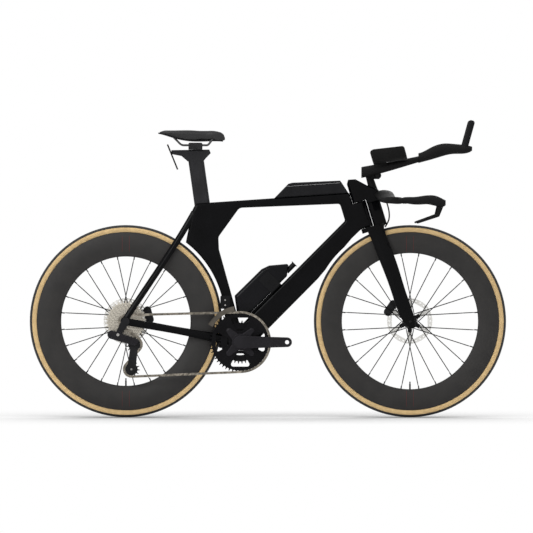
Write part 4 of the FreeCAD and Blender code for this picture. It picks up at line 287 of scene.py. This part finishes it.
ROTOR_STEEL = (0.78, 0.77, 0.74)
ROTOR_CARRIER = 0.04
front_rotor_steel = ground_metal("front_rotor_steel", FRONT, ROTOR_STEEL, (0.28, 0.45), carrier=ROTOR_CARRIER)
rear_rotor_steel = ground_metal("rear_rotor_steel", REAR, ROTOR_STEEL, (0.28, 0.45), carrier=ROTOR_CARRIER)
cassette_nickel = ground_metal("cassette_nickel", REAR, (0.5, 0.465, 0.4), (0.24, 0.4), 900.0)
# the chain gets painted shade in its gaps, within 4 mm
chain_nickel = surface("chain_nickel", (0.3, 0.27, 0.225), (0.24, 0.4), metallic=1.0, grain=1800.0, depth=0.00003,
                       gap_shade_reach=0.004)
cage_nickel = surface("cage_nickel", (0.085, 0.076, 0.064), (0.22, 0.38), metallic=1.0, grain=1600.0, depth=0.00002)
steel = surface("plain_steel", (0.34, 0.33, 0.32), (0.26, 0.42), metallic=1.0, grain=1500.0, depth=0.00003)
rail_black = surface("rail_black", (0.02, 0.02, 0.021), (0.35, 0.5), grain=1500.0, depth=0.00002)
print("metals: rotors, cassette, chain, cage and steel")

# %% [markdown]
# ## Tyres and rims are painted by radius
# The tyre's tan side wall ends where the black tread starts, at one distance from the axle. A fine noise stands for the
# cloth's threads. The carbon rim has a faint weave and thin red lines beside the valve hole and across from it.


# %% Tyres and rims
TREAD_RADIUS = 0.3302
LINE_OFFSET = 0.0125
LINE_HALF_WIDTH = 0.0007
LINE_FROM = 0.245
LINE_TO = 0.301


def band(nodes, links, value, edge, soft):
    """A soft step from 0 to 1 at an edge."""
    node = nodes.new("ShaderNodeMapRange")
    node.interpolation_type = "SMOOTHSTEP"
    node.inputs["From Min"].default_value = edge - soft
    node.inputs["From Max"].default_value = edge + soft
    links.new(value, node.inputs["Value"])
    return node.outputs["Result"]


def tyre_material(name, centre):
    material, nodes, links, shader = new_material(name)
    radius = round_coordinates(nodes, links, centre)[0]
    place = object_coordinates(nodes)
    mottle = noise(nodes, links, place, 60.0)
    thread = noise(nodes, links, place, 2400.0, 2.0)
    tan = ramp(nodes, links, mottle, (0.5, 0.345, 0.16), (0.6, 0.425, 0.205))
    black = ramp(nodes, links, mottle, (0.009, 0.009, 0.009), (0.014, 0.014, 0.014))
    tread = band(nodes, links, radius, TREAD_RADIUS, 0.0004)
    links.new(mix_colour(nodes, links, tread, tan, black), shader.inputs["Base Color"])
    links.new(spread(nodes, links, mottle, 0.62, 0.8), shader.inputs["Roughness"])
    bump(nodes, links, thread, 0.4, 0.0001, shader)
    return material


def rim_material(name, centre):
    material, nodes, links, shader = new_material(name)
    radius, across, up = round_coordinates(nodes, links, centre)
    place = object_coordinates(nodes)
    slow = noise(nodes, links, place, 20.0)
    weave = nodes.new("ShaderNodeTexChecker")
    weave.inputs["Scale"].default_value = 500.0
    links.new(place, weave.inputs["Vector"])
    base = ramp(nodes, links, slow, (0.017, 0.016, 0.0155), (0.023, 0.0215, 0.0205))
    side = math_node(nodes, links, "ABSOLUTE", across)
    line = math_node(nodes, links, "COMPARE", side, LINE_OFFSET, LINE_HALF_WIDTH)
    tall = math_node(nodes, links, "GREATER_THAN", math_node(nodes, links, "ABSOLUTE", up), LINE_FROM)
    inside = math_node(nodes, links, "LESS_THAN", radius, LINE_TO)
    stripe = math_node(nodes, links, "MULTIPLY", math_node(nodes, links, "MULTIPLY", line, tall), inside)
    links.new(mix_colour(nodes, links, stripe, base, (0.075, 0.012, 0.012)), shader.inputs["Base Color"])
    links.new(spread(nodes, links, slow, 0.42, 0.56), shader.inputs["Roughness"])
    bump(nodes, links, weave.outputs["Fac"], 0.05, 0.00003, shader)
    shader.inputs["Specular IOR Level"].default_value = 0.25
    return material


front_tyre = tyre_material("front_tyre_rubber", FRONT)
rear_tyre = tyre_material("rear_tyre_rubber", REAR)
front_rim = rim_material("front_rim_carbon", FRONT)
rear_rim = rim_material("rear_rim_carbon", REAR)
print("tyres and rims painted by radius")

# %% [markdown]
# ## Hand each node its finish
# A CAD node keeps its shape and place. Only its material slots change.

# %% Dress the nodes
dress = {
    paint: "main_frame left_chainstay right_chainstay left_seatstay right_seatstay fork stem",
    carbon: "basebar aerobar_mast extensions arm_cups rear_plate",
    post_carbon: "seatpost",
    alloy: "front_hub rear_hub front_thru_axle rear_thru_axle saddle_clamp derailleur_hanger bottom_bracket "
           "headset_bearings front_caliper rear_caliper derailleur_cage guide_pulley tension_pulley",
    spoke_black: "front_spokes rear_spokes",
    plastic: "front_derailleur bottle_cage left_brake_lever right_brake_lever left_shift_button "
             "right_shift_button",
    shell_plastic: "saddle_shell storage_box storage_lid",
    gloss_plastic: "bottle bottle_nozzle",
    rubber: "hand_grips extension_grips front_brake_hose",
    crank_grey: "right_crank_arm left_crank_arm rear_derailleur",
    ring_grey: "outer_chainring inner_chainring",
    chain_nickel: "chain",
    cassette_nickel: "cassette",
    cage_nickel: "front_derailleur_cage",
    steel: "chainring_bolts",
    rail_black: "saddle_rails",
    front_rotor_steel: "front_rotor",
    rear_rotor_steel: "rear_rotor",
    front_tyre: "front_tyre",
    rear_tyre: "rear_tyre",
    front_rim: "front_rim",
    rear_rim: "rear_rim",
}


def finish_with(mesh, material):
    mesh.materials.clear()
    mesh.materials.append(material)


for material, names in dress.items():
    for name in names.split():
        finish_with(bpy.data.objects[name].data, material)
print("dressed", sum(len(names.split()) for names in dress.values()), "nodes")

# %% [markdown]
# ## Padding that is really padded
# The CAD saddle and arm pads are plain closed solids. A copy is remeshed into even small faces, shrunk a little, and
# blown up again by the cloth simulation's pressure, so its crown and edges come out soft. No point may travel further
# than a few millimetres, which keeps each pad in the space its solid holds.


# %% Padding kit
VOXEL = 0.004
PRESSURE = 4.0
CLOTH_STIFFNESS = 20.0
CLOTH_FRAMES = 18


def remeshed(name, node):
    """A copy of a CAD solid in even small faces."""
    source = bpy.data.objects[node]
    piece = bpy.data.objects.new(name, source.data.copy())
    link(piece)
    step = piece.modifiers.new("even_faces", "REMESH")
    step.mode = "VOXEL"
    step.voxel_size = VOXEL
    step.use_smooth_shade = True
    bake(piece)
    return piece


def bake(piece):
    """Keeps what the modifiers make, and removes the modifiers."""
    graph = bpy.context.evaluated_depsgraph_get()
    graph.update()
    mesh = bpy.data.meshes.new_from_object(piece.evaluated_get(graph))
    piece.modifiers.clear()
    piece.data = mesh


def relax(mesh, rounds, share):
    """Moves each point part of the way to the middle of its neighbours."""
    near = [[] for point in mesh.vertices]
    for edge in mesh.edges:
        first, second = edge.vertices
        near[first].append(second)
        near[second].append(first)
    for turn in range(rounds):
        places = [point.co.copy() for point in mesh.vertices]
        for point in mesh.vertices:
            middle = sum((places[other] for other in near[point.index]), Vector()) / len(near[point.index])
            point.co = places[point.index].lerp(middle, share)


def puff(piece, cap, shrink):
    """Blows a shrunk copy up with cloth pressure; no point travels further than the cap."""
    mesh = piece.data
    start = [point.co - point.normal * shrink for point in mesh.vertices]
    for point, place in zip(mesh.vertices, start):
        point.co = place
    cloth = piece.modifiers.new("cloth", "CLOTH")
    cloth.settings.use_pressure = True
    cloth.settings.uniform_pressure_force = PRESSURE
    cloth.settings.effector_weights.gravity = 0.0
    cloth.settings.tension_stiffness = CLOTH_STIFFNESS
    cloth.settings.compression_stiffness = CLOTH_STIFFNESS
    scene = bpy.context.scene
    for number in range(1, CLOTH_FRAMES + 1):
        scene.frame_set(number)
    bake(piece)
    scene.frame_set(1)
    for point, place in zip(piece.data.vertices, start):
        move = point.co - place
        if move.length > cap:
            point.co = place + move.normalized() * cap


def finer(piece):
    """Splits every face once more and shades the piece smooth."""
    step = piece.modifiers.new("finer", "SUBSURF")
    step.levels = 1
    step.render_levels = 1
    bake(piece)
    for face in piece.data.polygons:
        face.use_smooth = True


print("padding kit ready")

# %% [markdown]
# ## Covers for saddle and arm pads
# The saddle's cover is a synthetic with a fine cell grain. The pads have a knitted cover: two crossed waves make the
# stitches.


# %% Soft materials
def knit_material(name, colour):
    material, nodes, links, shader = new_material(name)
    place = object_coordinates(nodes)
    slow = noise(nodes, links, place, 40.0)
    waves = []
    for axis in ("X", "Y"):
        wave = nodes.new("ShaderNodeTexWave")
        wave.bands_direction = axis
        wave.inputs["Scale"].default_value = 330.0
        wave.inputs["Distortion"].default_value = 1.2
        links.new(place, wave.inputs["Vector"])
        waves.append(wave.outputs["Fac"])
    stitch = math_node(nodes, links, "MULTIPLY", *waves)
    dark = ramp(nodes, links, slow, shade(colour, 0.8), shade(colour, 1.25))
    links.new(mix_colour(nodes, links, stitch, dark, shade(colour, 1.9)), shader.inputs["Base Color"])
    links.new(spread(nodes, links, slow, 0.75, 0.92), shader.inputs["Roughness"])
    shader.inputs["Sheen Weight"].default_value = 0.25
    bump(nodes, links, stitch, 0.6, 0.0004, shader)
    return material


def hide_material(name, colour):
    material, nodes, links, shader = new_material(name)
    place = object_coordinates(nodes)
    slow = noise(nodes, links, place, 25.0)
    cells = nodes.new("ShaderNodeTexVoronoi")
    cells.inputs["Scale"].default_value = 900.0
    links.new(place, cells.inputs["Vector"])
    links.new(ramp(nodes, links, slow, shade(colour, 0.8), shade(colour, 1.25)), shader.inputs["Base Color"])
    links.new(spread(nodes, links, slow, 0.42, 0.6), shader.inputs["Roughness"])
    bump(nodes, links, cells.outputs["Distance"], 0.3, 0.00015, shader)
    return material


saddle_hide = hide_material("saddle_cover", (0.006, 0.006, 0.0065))
pad_knit = knit_material("pad_knit", (0.008, 0.008, 0.0085))
print("soft materials ready")

# %% [markdown]
# ## Saddle and arm pads
# Each is blown up within a few millimetres of its solid. The saddle then gets a long shallow channel down its middle,
# which fades out at both ends.

# %% Saddle and pads
GROOVE_HALF_WIDTH = 0.014
GROOVE_DEPTH = 0.0035
GROOVE_START = 0.08
GROOVE_END = 0.82
saddle = remeshed("saddle_pad", "saddle")
relax(saddle.data, 2, 0.5)
puff(saddle, 0.004, 0.0018)
relax(saddle.data, 2, 0.4)
low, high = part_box("saddle")
for point in saddle.data.vertices:
    along = (point.co.x - low[0]) / (high[0] - low[0])
    on_top = point.normal.z > 0.4 and abs(point.co.y) < GROOVE_HALF_WIDTH
    if on_top and GROOVE_START < along < GROOVE_END:
        groove = math.cos(point.co.y / GROOVE_HALF_WIDTH * math.pi / 2)
        ends = math.sin((along - GROOVE_START) / (GROOVE_END - GROOVE_START) * math.pi) ** 0.5
        point.co.z -= GROOVE_DEPTH * groove * ends
finer(saddle)
finish_with(saddle.data, saddle_hide)
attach(saddle, "saddle")
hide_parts("saddle")

pads = remeshed("arm_pad_covers", "arm_pads")
relax(pads.data, 2, 0.5)
puff(pads, 0.003, 0.0015)
relax(pads.data, 1, 0.4)
finer(pads)
finish_with(pads.data, pad_knit)
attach(pads, "aerobars")
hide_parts("arm_pads")
print("saddle", len(saddle.data.polygons), "faces, pads", len(pads.data.polygons), "faces")

# %% [markdown]
# ## One tool for what repeats around an axle
# Spoke nipples and the arms of the crank's spider sit on a circle. A Geometry Nodes group makes a ring of points, turns
# each copy of a fitting to face outwards, and realizes the copies so they become one mesh.


# %% Ring tool
def make_ring_tool():
    group = bpy.data.node_groups.new("ring_of_fittings", "GeometryNodeTree")
    group.interface.new_socket("Geometry", in_out="OUTPUT", socket_type="NodeSocketGeometry")
    for name, kind in (("Count", "NodeSocketInt"), ("Radius", "NodeSocketFloat"), ("Start", "NodeSocketFloat"),
                       ("Centre", "NodeSocketVector"), ("Fitting", "NodeSocketObject"),
                       ("Finish", "NodeSocketMaterial")):
        group.interface.new_socket(name, in_out="INPUT", socket_type=kind)
    nodes = group.nodes
    links = group.links
    given = nodes.new("NodeGroupInput")
    ring = nodes.new("GeometryNodeMeshCircle")
    links.new(given.outputs["Count"], ring.inputs["Vertices"])
    links.new(given.outputs["Radius"], ring.inputs["Radius"])
    upright = nodes.new("ShaderNodeCombineXYZ")
    upright.inputs["X"].default_value = math.pi / 2
    placed = nodes.new("GeometryNodeTransform")
    links.new(ring.outputs["Mesh"], placed.inputs["Geometry"])
    links.new(upright.outputs[0], placed.inputs["Rotation"])
    turn = nodes.new("ShaderNodeCombineXYZ")
    links.new(given.outputs["Start"], turn.inputs["Y"])
    turned = nodes.new("GeometryNodeTransform")
    links.new(placed.outputs["Geometry"], turned.inputs["Geometry"])
    links.new(turn.outputs[0], turned.inputs["Rotation"])
    outward = nodes.new("FunctionNodeAlignRotationToVector")
    outward.axis = "Z"
    outward.pivot_axis = "Y"
    links.new(nodes.new("GeometryNodeInputPosition").outputs[0], outward.inputs["Vector"])
    fitting = nodes.new("GeometryNodeObjectInfo")
    links.new(given.outputs["Fitting"], fitting.inputs["Object"])
    copies = nodes.new("GeometryNodeInstanceOnPoints")
    links.new(turned.outputs["Geometry"], copies.inputs["Points"])
    links.new(fitting.outputs["Geometry"], copies.inputs["Instance"])
    links.new(outward.outputs["Rotation"], copies.inputs["Rotation"])
    shift = nodes.new("GeometryNodeTransform")
    links.new(copies.outputs["Instances"], shift.inputs["Geometry"])
    links.new(given.outputs["Centre"], shift.inputs["Translation"])
    real = nodes.new("GeometryNodeRealizeInstances")
    links.new(shift.outputs["Geometry"], real.inputs["Geometry"])
    finish = nodes.new("GeometryNodeSetMaterial")
    links.new(real.outputs["Geometry"], finish.inputs["Geometry"])
    links.new(given.outputs["Finish"], finish.inputs["Material"])
    links.new(finish.outputs["Geometry"], nodes.new("NodeGroupOutput").inputs["Geometry"])
    return group


ring_tool = make_ring_tool()


def ring_of(name, body, fitting, material, count, radius, centre, start_deg):
    """Sets a fitting out in a ring, as one piece that rides on one body."""
    piece = bpy.data.objects.new(name, bpy.data.meshes.new(name))
    link(piece)
    step = piece.modifiers.new("ring", "NODES")
    step.node_group = ring_tool
    settings = {"Count": count, "Radius": radius, "Start": math.radians(start_deg), "Centre": tuple(centre),
                "Fitting": fitting, "Finish": material}
    for item in ring_tool.interface.items_tree:
        if item.in_out == "INPUT":
            step[item.identifier] = settings[item.name]
    bake(piece)
    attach(piece, body)
    return piece


print("ring tool with", len(ring_tool.nodes), "nodes")

# %% [markdown]
# ## Turned fittings
# A lathe spins a short profile around an axis. Valves, nipples, bolts and caps are all turned this way, and each bolt's
# head has a round socket sunk into it.


# %% Lathe
SHARP = math.radians(35)
UP = Vector((0.0, 0.0, 1.0))


def skin(form, rings):
    """Joins rings of points into a closed tube."""
    for lower, upper in zip(rings, rings[1:]):
        for step in range(len(lower)):
            after = (step + 1) % len(lower)
            form.faces.new((lower[step], lower[after], upper[after], upper[step]))
    form.faces.new(rings[0])
    form.faces.new(rings[-1])


def finished(form, name, material):
    """Turns a bmesh into a mesh with one finish, smooth but for its sharp edges."""
    bmesh.ops.recalc_face_normals(form, faces=form.faces)
    mesh = bpy.data.meshes.new(name)
    form.to_mesh(mesh)
    form.free()
    mesh.materials.append(material)
    for face in mesh.polygons:
        face.use_smooth = True
    mesh.set_sharp_from_angle(angle=SHARP)
    return mesh


def lathe(name, profile, material, sides, axis=UP, centre=(0.0, 0.0, 0.0)):
    """Spins (radius, height) points about an axis into a closed piece."""
    form = bmesh.new()
    turns = [2 * math.pi * step / sides for step in range(sides)]
    skin(form, [[form.verts.new((radius * math.cos(turn), radius * math.sin(turn), height)) for turn in turns]
                for radius, height in profile])
    lean = UP.rotation_difference(Vector(axis)).to_matrix().to_4x4()
    bmesh.ops.transform(form, matrix=Matrix.Translation(centre) @ lean, verts=form.verts)
    return bpy.data.objects.new(name, finished(form, name, material))


def bolt_head(place, axis, radius, material):
    """A socket head: rounded rim, flat top and a round hole."""
    height = radius * 0.9
    profile = [(radius, 0.0), (radius, height * 0.75), (radius * 0.86, height), (radius * 0.55, height),
               (radius * 0.5, height * 0.35)]
    return lathe("head", profile, material, 24, axis, place)


def bolts(name, body, places, material):
    """Joins several bolt heads into one piece that rides on one body."""
    form = bmesh.new()
    for place, axis, radius in places:
        head = bolt_head(place, axis, radius, material)
        form.from_mesh(head.data)
        bpy.data.objects.remove(head)
    piece = bpy.data.objects.new(name, finished(form, name, material))
    link(piece)
    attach(piece, body)


print("lathe ready")

# %% [markdown]
# ## Bladed spokes
# The CAD spokes are round rods. Real ones for deep rims are round at both ends and forged into a flat blade between,
# which shows its broad side to the camera. Each blade is a short stack of ovals along the rod's own line.


# %% Bladed spokes
SPOKES = 24
FLANGE_RADIUS = 0.021
FLANGE_HALF_THICK = 0.0022
LEAD_ANGLE = math.radians(62)
BLADE_SIDES = 10
BLADE_STATIONS = [(0.0, 0.001, 0.001), (0.05, 0.001, 0.001), (0.1, 0.0016, 0.00055), (0.9, 0.0016, 0.00055),
                  (0.95, 0.001, 0.001), (1.0, 0.001, 0.001)]


def blade(form, start, end):
    """One spoke: ovals at the stations' shares of its length, with half their width and half their thickness."""
    wide = (end - start).cross(Vector((0, 1, 0))).normalized()
    thin = (end - start).cross(wide).normalized()
    turns = [2 * math.pi * step / BLADE_SIDES for step in range(BLADE_SIDES)]
    rings = []
    for share, half_width, half_thick in BLADE_STATIONS:
        middle = start.lerp(end, share)
        rings.append([form.verts.new(middle + wide * half_width * math.cos(turn) + thin * half_thick * math.sin(turn))
                      for turn in turns])
    skin(form, rings)


def bladed_spokes(wheel, centre, right_flange, left_flange, reach):
    """All spokes of a wheel: sides alternate, and pairs lead and trail in turn."""
    form = bmesh.new()
    for index in range(SPOKES):
        angle = (index + 0.5) * 2 * math.pi / SPOKES
        lead = 1 if index // 2 % 2 == 0 else -1
        flange = -right_flange if index % 2 == 0 else left_flange
        foot = angle + lead * LEAD_ANGLE
        start = centre + Vector((FLANGE_RADIUS * math.cos(foot), flange + lead * FLANGE_HALF_THICK,
                                 FLANGE_RADIUS * math.sin(foot)))
        blade(form, start, centre + Vector((reach * math.cos(angle), 0, reach * math.sin(angle))))
    mesh = finished(form, f"{wheel}_spoke_blades", spoke_black)
    piece = bpy.data.objects.new(mesh.name, mesh)
    link(piece)
    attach(piece, f"{wheel}_wheel")
    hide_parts(f"{wheel}_spokes")
    print(piece.name, len(mesh.polygons), "faces")


bladed_spokes("rear", REAR, 0.019, 0.033, 0.23)
bladed_spokes("front", FRONT, 0.032, 0.02, 0.242)

# %% [markdown]
# ## Nipples and valves
# A nipple shows where each spoke enters the rim, and one valve stands at the bottom of each wheel. Both are turned.

# %% Nipples and valves
NIPPLE = [(0.0012, -0.009), (0.0021, -0.0085), (0.0021, 0.001), (0.0028, 0.0012), (0.0028, 0.004)]
VALVE = [(0.003, 0.0), (0.003, 0.0205), (0.0022, 0.021), (0.0022, 0.0255), (0.0027, 0.026), (0.0027, 0.0285),
         (0.0012, 0.0292)]
VALVE_SUNK = 0.004
nipple = lathe("nipple", NIPPLE, steel, 12)
for wheel, centre, edge in (("front", FRONT, 0.2385), ("rear", REAR, 0.2265)):
    ring_of(f"{wheel}_nipples", f"{wheel}_wheel", nipple, spoke_black, SPOKES, edge, centre,
            180.0 / SPOKES)
    valve = lathe(f"{wheel}_valve", VALVE, alloy, 16, UP, centre + Vector((0, 0, -edge - VALVE_SUNK)))
    link(valve)
    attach(valve, f"{wheel}_wheel")
print("nipples and valves on both wheels")

# %% [markdown]
# ## The spider's faces
# Four forged arms hold the chainring. Their faces stand a few millimetres proud of it, wide at the hub and narrow at
# the bolts, with a chamfer all round that catches the light. One arm is modelled and the ring tool sets out all four.


# %% Spider faces
ARMS = 4
ARM_RADIUS = 0.037
ARM_START_DEG = 45.0
ARM_SUNK = 0.0002
ARM_OUTLINE = [(-0.0135, -0.02), (-0.0145, -0.008), (-0.0115, 0.008), (-0.0095, 0.02), (-0.0068, 0.0262),
               (0.0, 0.029)]
ARM_LAYERS = [(0.0, 1.0), (-0.0022, 1.0), (-0.0036, 0.8)]


def spider_arm():
    """One arm about its own middle: Z points outwards, and its face looks along -Y."""
    outline = ARM_OUTLINE + [(-across, out) for across, out in reversed(ARM_OUTLINE[:-1])]
    form = bmesh.new()
    skin(form, [[form.verts.new((across * share, depth, out * share)) for across, out in outline]
                for depth, share in ARM_LAYERS])
    bmesh.ops.recalc_face_normals(form, faces=form.faces)
    mesh = bpy.data.meshes.new("spider_arm")
    form.to_mesh(mesh)
    form.free()
    return bpy.data.objects.new("spider_arm", mesh)


low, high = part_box("outer_chainring")
ring_face = (CRANK.x, low[1] + ARM_SUNK, CRANK.z)
spider = ring_of("spider_faces", "crank", spider_arm(), crank_grey, ARMS, ARM_RADIUS, ring_face,
                 ARM_START_DEG)
print("spider faces", len(spider.data.polygons), "faces at", [round(value, 4) for value in ring_face])

# %% [markdown]
# ## The front brake hose
# A stiff hydraulic hose leaves the bar, bows forward of the frame's nose and goes into the crown. Five points steer one
# smooth spline, and a round bevel gives it its 5 mm.

# %% Front hose
HOSE_POINTS = [(0.41367, 0.0, 0.7724), (0.4239, 0.0, 0.7451), (0.42899, 0.0, 0.71522), (0.42598, 0.0, 0.68995),
               (0.41302, 0.0, 0.67078)]
HOSE_RADIUS = 0.0025
hose_curve = bpy.data.curves.new("front_hose", "CURVE")
hose_curve.dimensions = "3D"
hose_curve.bevel_depth = HOSE_RADIUS
hose_curve.bevel_resolution = 4
hose_curve.use_fill_caps = True
line = hose_curve.splines.new("NURBS")
line.points.add(len(HOSE_POINTS) - 1)
for point, place in zip(line.points, HOSE_POINTS):
    point.co = (*place, 1.0)
line.order_u = 3
line.use_endpoint_u = True
line.resolution_u = 12
hose_curve.materials.append(rubber)
front_hose = bpy.data.objects.new("front_hose", hose_curve)
link(front_hose)
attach(front_hose, "front_end")
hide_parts("front_brake_hose")
print("front hose along", len(HOSE_POINTS), "points")

# %% [markdown]
# ## Bolts and caps
# Bolt heads sit on the faces they clamp: saddle clamp, aerobar pivot, derailleurs and calipers. Two turned caps close
# the left crank arm and the cassette.

# %% Bolts and caps
RIGHT = (0.0, -1.0, 0.0)
LEFT = (0.0, 1.0, 0.0)
bolts("clamp_bolts", "seatpost",
      [((-0.2556, -0.027, 0.9505), RIGHT, 0.0045), ((-0.2556, 0.027, 0.9505), LEFT, 0.0045)], alloy)
bolts("pivot_bolts", "aerobars",
      [((0.35635, -0.0219, 0.85318), RIGHT, 0.0065), ((0.35635, 0.0219, 0.85318), LEFT, 0.0065)], alloy)
low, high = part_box("front_derailleur")
middle = (low[0] + high[0]) / 2
bolts("derailleur_bolts", "frame",
      [((-0.527, -0.1, 0.293), RIGHT, 0.006), ((-0.48035, -0.07, 0.171), RIGHT, 0.004),
       ((middle, low[1], 0.396), RIGHT, 0.0032), ((middle, low[1], 0.414), RIGHT, 0.0032)], steel)
for side, body in (("front", "front_end"), ("rear", "frame")):
    low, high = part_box(f"{side}_caliper")
    centre = ((low[0] + high[0]) / 2, high[1], (low[2] + high[2]) / 2)
    bolts(f"{side}_caliper_bolts", body,
          [((centre[0] + shift, centre[1], centre[2] + rise), LEFT, 0.0038)
           for shift, rise in ((-0.006, -0.008), (0.006, 0.008))], steel)
CAP = [(0.0125, 0.0), (0.0125, 0.001), (0.0115, 0.0018), (0.006, 0.0018), (0.0052, 0.0006)]
LOCK_RING = [(0.0168, 0.0), (0.0168, 0.0012), (0.016, 0.0018), (0.0118, 0.0018), (0.0112, 0.0004)]
cap = lathe("crank_cap", CAP, alloy, 32, LEFT, CRANK + Vector((0, 0.073, 0)))
lock_ring = lathe("lock_ring", LOCK_RING, steel, 36, RIGHT, REAR + Vector((0, -0.0685, 0)))
for piece, body, slot in ((cap, "crank", "black_alloy"), (lock_ring, "cassette", "steel")):
    link(piece)
    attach(piece, body)
print("bolts and caps in place")

# %% [markdown]
# ## Studio
# Floor and world are white to rays from the camera, in reflections and through clear things, and a painted shadow
# darkens the floor where the bicycle stands close to it. To diffuse light the world is a soft tent above with a little
# from behind. Three lamps add shape. The paint's colour and thin coat, not less light, keep it near black.

# %% Studio
FLOOR_HALF = 30.0
FLOOR_PALE = ((0.94,) * 3, (0.96,) * 3)
SHADOW_REACH = 0.9
SHADOW_RAMP = ((0.12,) * 3, (1.0,) * 3, 0.45, 0.98)
BEHIND_SHARE = 0.2
TENT_STRENGTH = 0.7
TENT_FLOOR = 0.05


def background_rays(nodes, links):
    """1 for rays that look at the background: from the camera, by reflection or through something clear."""
    path = nodes.new("ShaderNodeLightPath").outputs
    shown_or_mirrored = math_node(nodes, links, "MAXIMUM", path["Is Camera Ray"], path["Is Glossy Ray"])
    return math_node(nodes, links, "MAXIMUM", shown_or_mirrored, path["Is Transmission Ray"])


floor_mesh = bpy.data.meshes.new("floor")
corners = [(FLOOR_HALF * x, FLOOR_HALF * y, 0) for x, y in ((-1, -1), (1, -1), (1, 1), (-1, 1))]
floor_mesh.from_pydata(corners, [], [(0, 1, 2, 3)])
floor = bpy.data.objects.new("floor", floor_mesh)
link(floor)
floor_material, nodes, links, shader = new_material("floor_white")
mottle = noise(nodes, links, object_coordinates(nodes), 3.0)
links.new(ramp(nodes, links, mottle, *FLOOR_PALE), shader.inputs["Base Color"])
shader.inputs["Roughness"].default_value = 0.9
# painted shadow: the floor the camera sees is an emission that darkens with ambient occlusion near the bicycle
contact = nodes.new("ShaderNodeAmbientOcclusion")
contact.inputs["Distance"].default_value = SHADOW_REACH
contact.samples = 16
shown = nodes.new("ShaderNodeEmission")
links.new(ramp(nodes, links, contact.outputs["AO"], *SHADOW_RAMP), shown.inputs["Color"])
seen = nodes.new("ShaderNodeMixShader")
links.new(background_rays(nodes, links), seen.inputs["Fac"])
links.new(shader.outputs[0], seen.inputs[1])
links.new(shown.outputs[0], seen.inputs[2])
links.new(seen.outputs[0], nodes["Material Output"].inputs["Surface"])
floor_mesh.materials.append(floor_material)

world = bpy.data.worlds.new("studio")
world.use_nodes = True
bpy.context.scene.world = world
nodes = world.node_tree.nodes
links = world.node_tree.links
soft = nodes["Background"]
soft.inputs["Color"].default_value = (1.0, 1.0, 1.0, 1.0)
way = nodes.new("ShaderNodeSeparateXYZ")
links.new(nodes.new("ShaderNodeTexCoord").outputs["Generated"], way.inputs[0])
above = band(nodes, links, way.outputs["Z"], 0.45, 0.2)
behind = band(nodes, links, way.outputs["Y"], 0.3, 0.25)
tent = math_node(nodes, links, "MAXIMUM", above, math_node(nodes, links, "MULTIPLY", behind, BEHIND_SHARE))
links.new(math_node(nodes, links, "MULTIPLY_ADD", tent, TENT_STRENGTH, TENT_FLOOR), soft.inputs["Strength"])
white = nodes.new("ShaderNodeBackground")
white.inputs["Color"].default_value = (1.0, 1.0, 1.0, 1.0)
white.inputs["Strength"].default_value = 1.0
chooser = nodes.new("ShaderNodeMixShader")
links.new(background_rays(nodes, links), chooser.inputs["Fac"])
links.new(soft.outputs[0], chooser.inputs[1])
links.new(white.outputs[0], chooser.inputs[2])
links.new(chooser.outputs[0], nodes["World Output"].inputs["Surface"])


def soft_box(name, place, target, size, watts):
    data = bpy.data.lights.new(name, "AREA")
    data.shape = "RECTANGLE"
    data.size = size[0]
    data.size_y = size[1]
    data.energy = watts
    light = bpy.data.objects.new(name, data)
    light.location = place
    light.rotation_euler = (Vector(target) - Vector(place)).to_track_quat("-Z", "Y").to_euler()
    link(light)
    return light


top_box = soft_box("top_box", (0.0, -0.6, 3.2), (0.0, 0.0, 0.5), (3.2, 1.4), 65.0)
top_box.visible_glossy = False
soft_box("side_box", (-1.8, -3.4, 1.9), (0.0, 0.0, 0.6), (2.2, 1.6), 55.0)
soft_box("back_box", (1.6, 3.2, 2.0), (0.0, 0.0, 0.6), (2.4, 1.6), 40.0)
bpy.context.scene.view_settings.view_transform = "Standard"
print("studio ready")
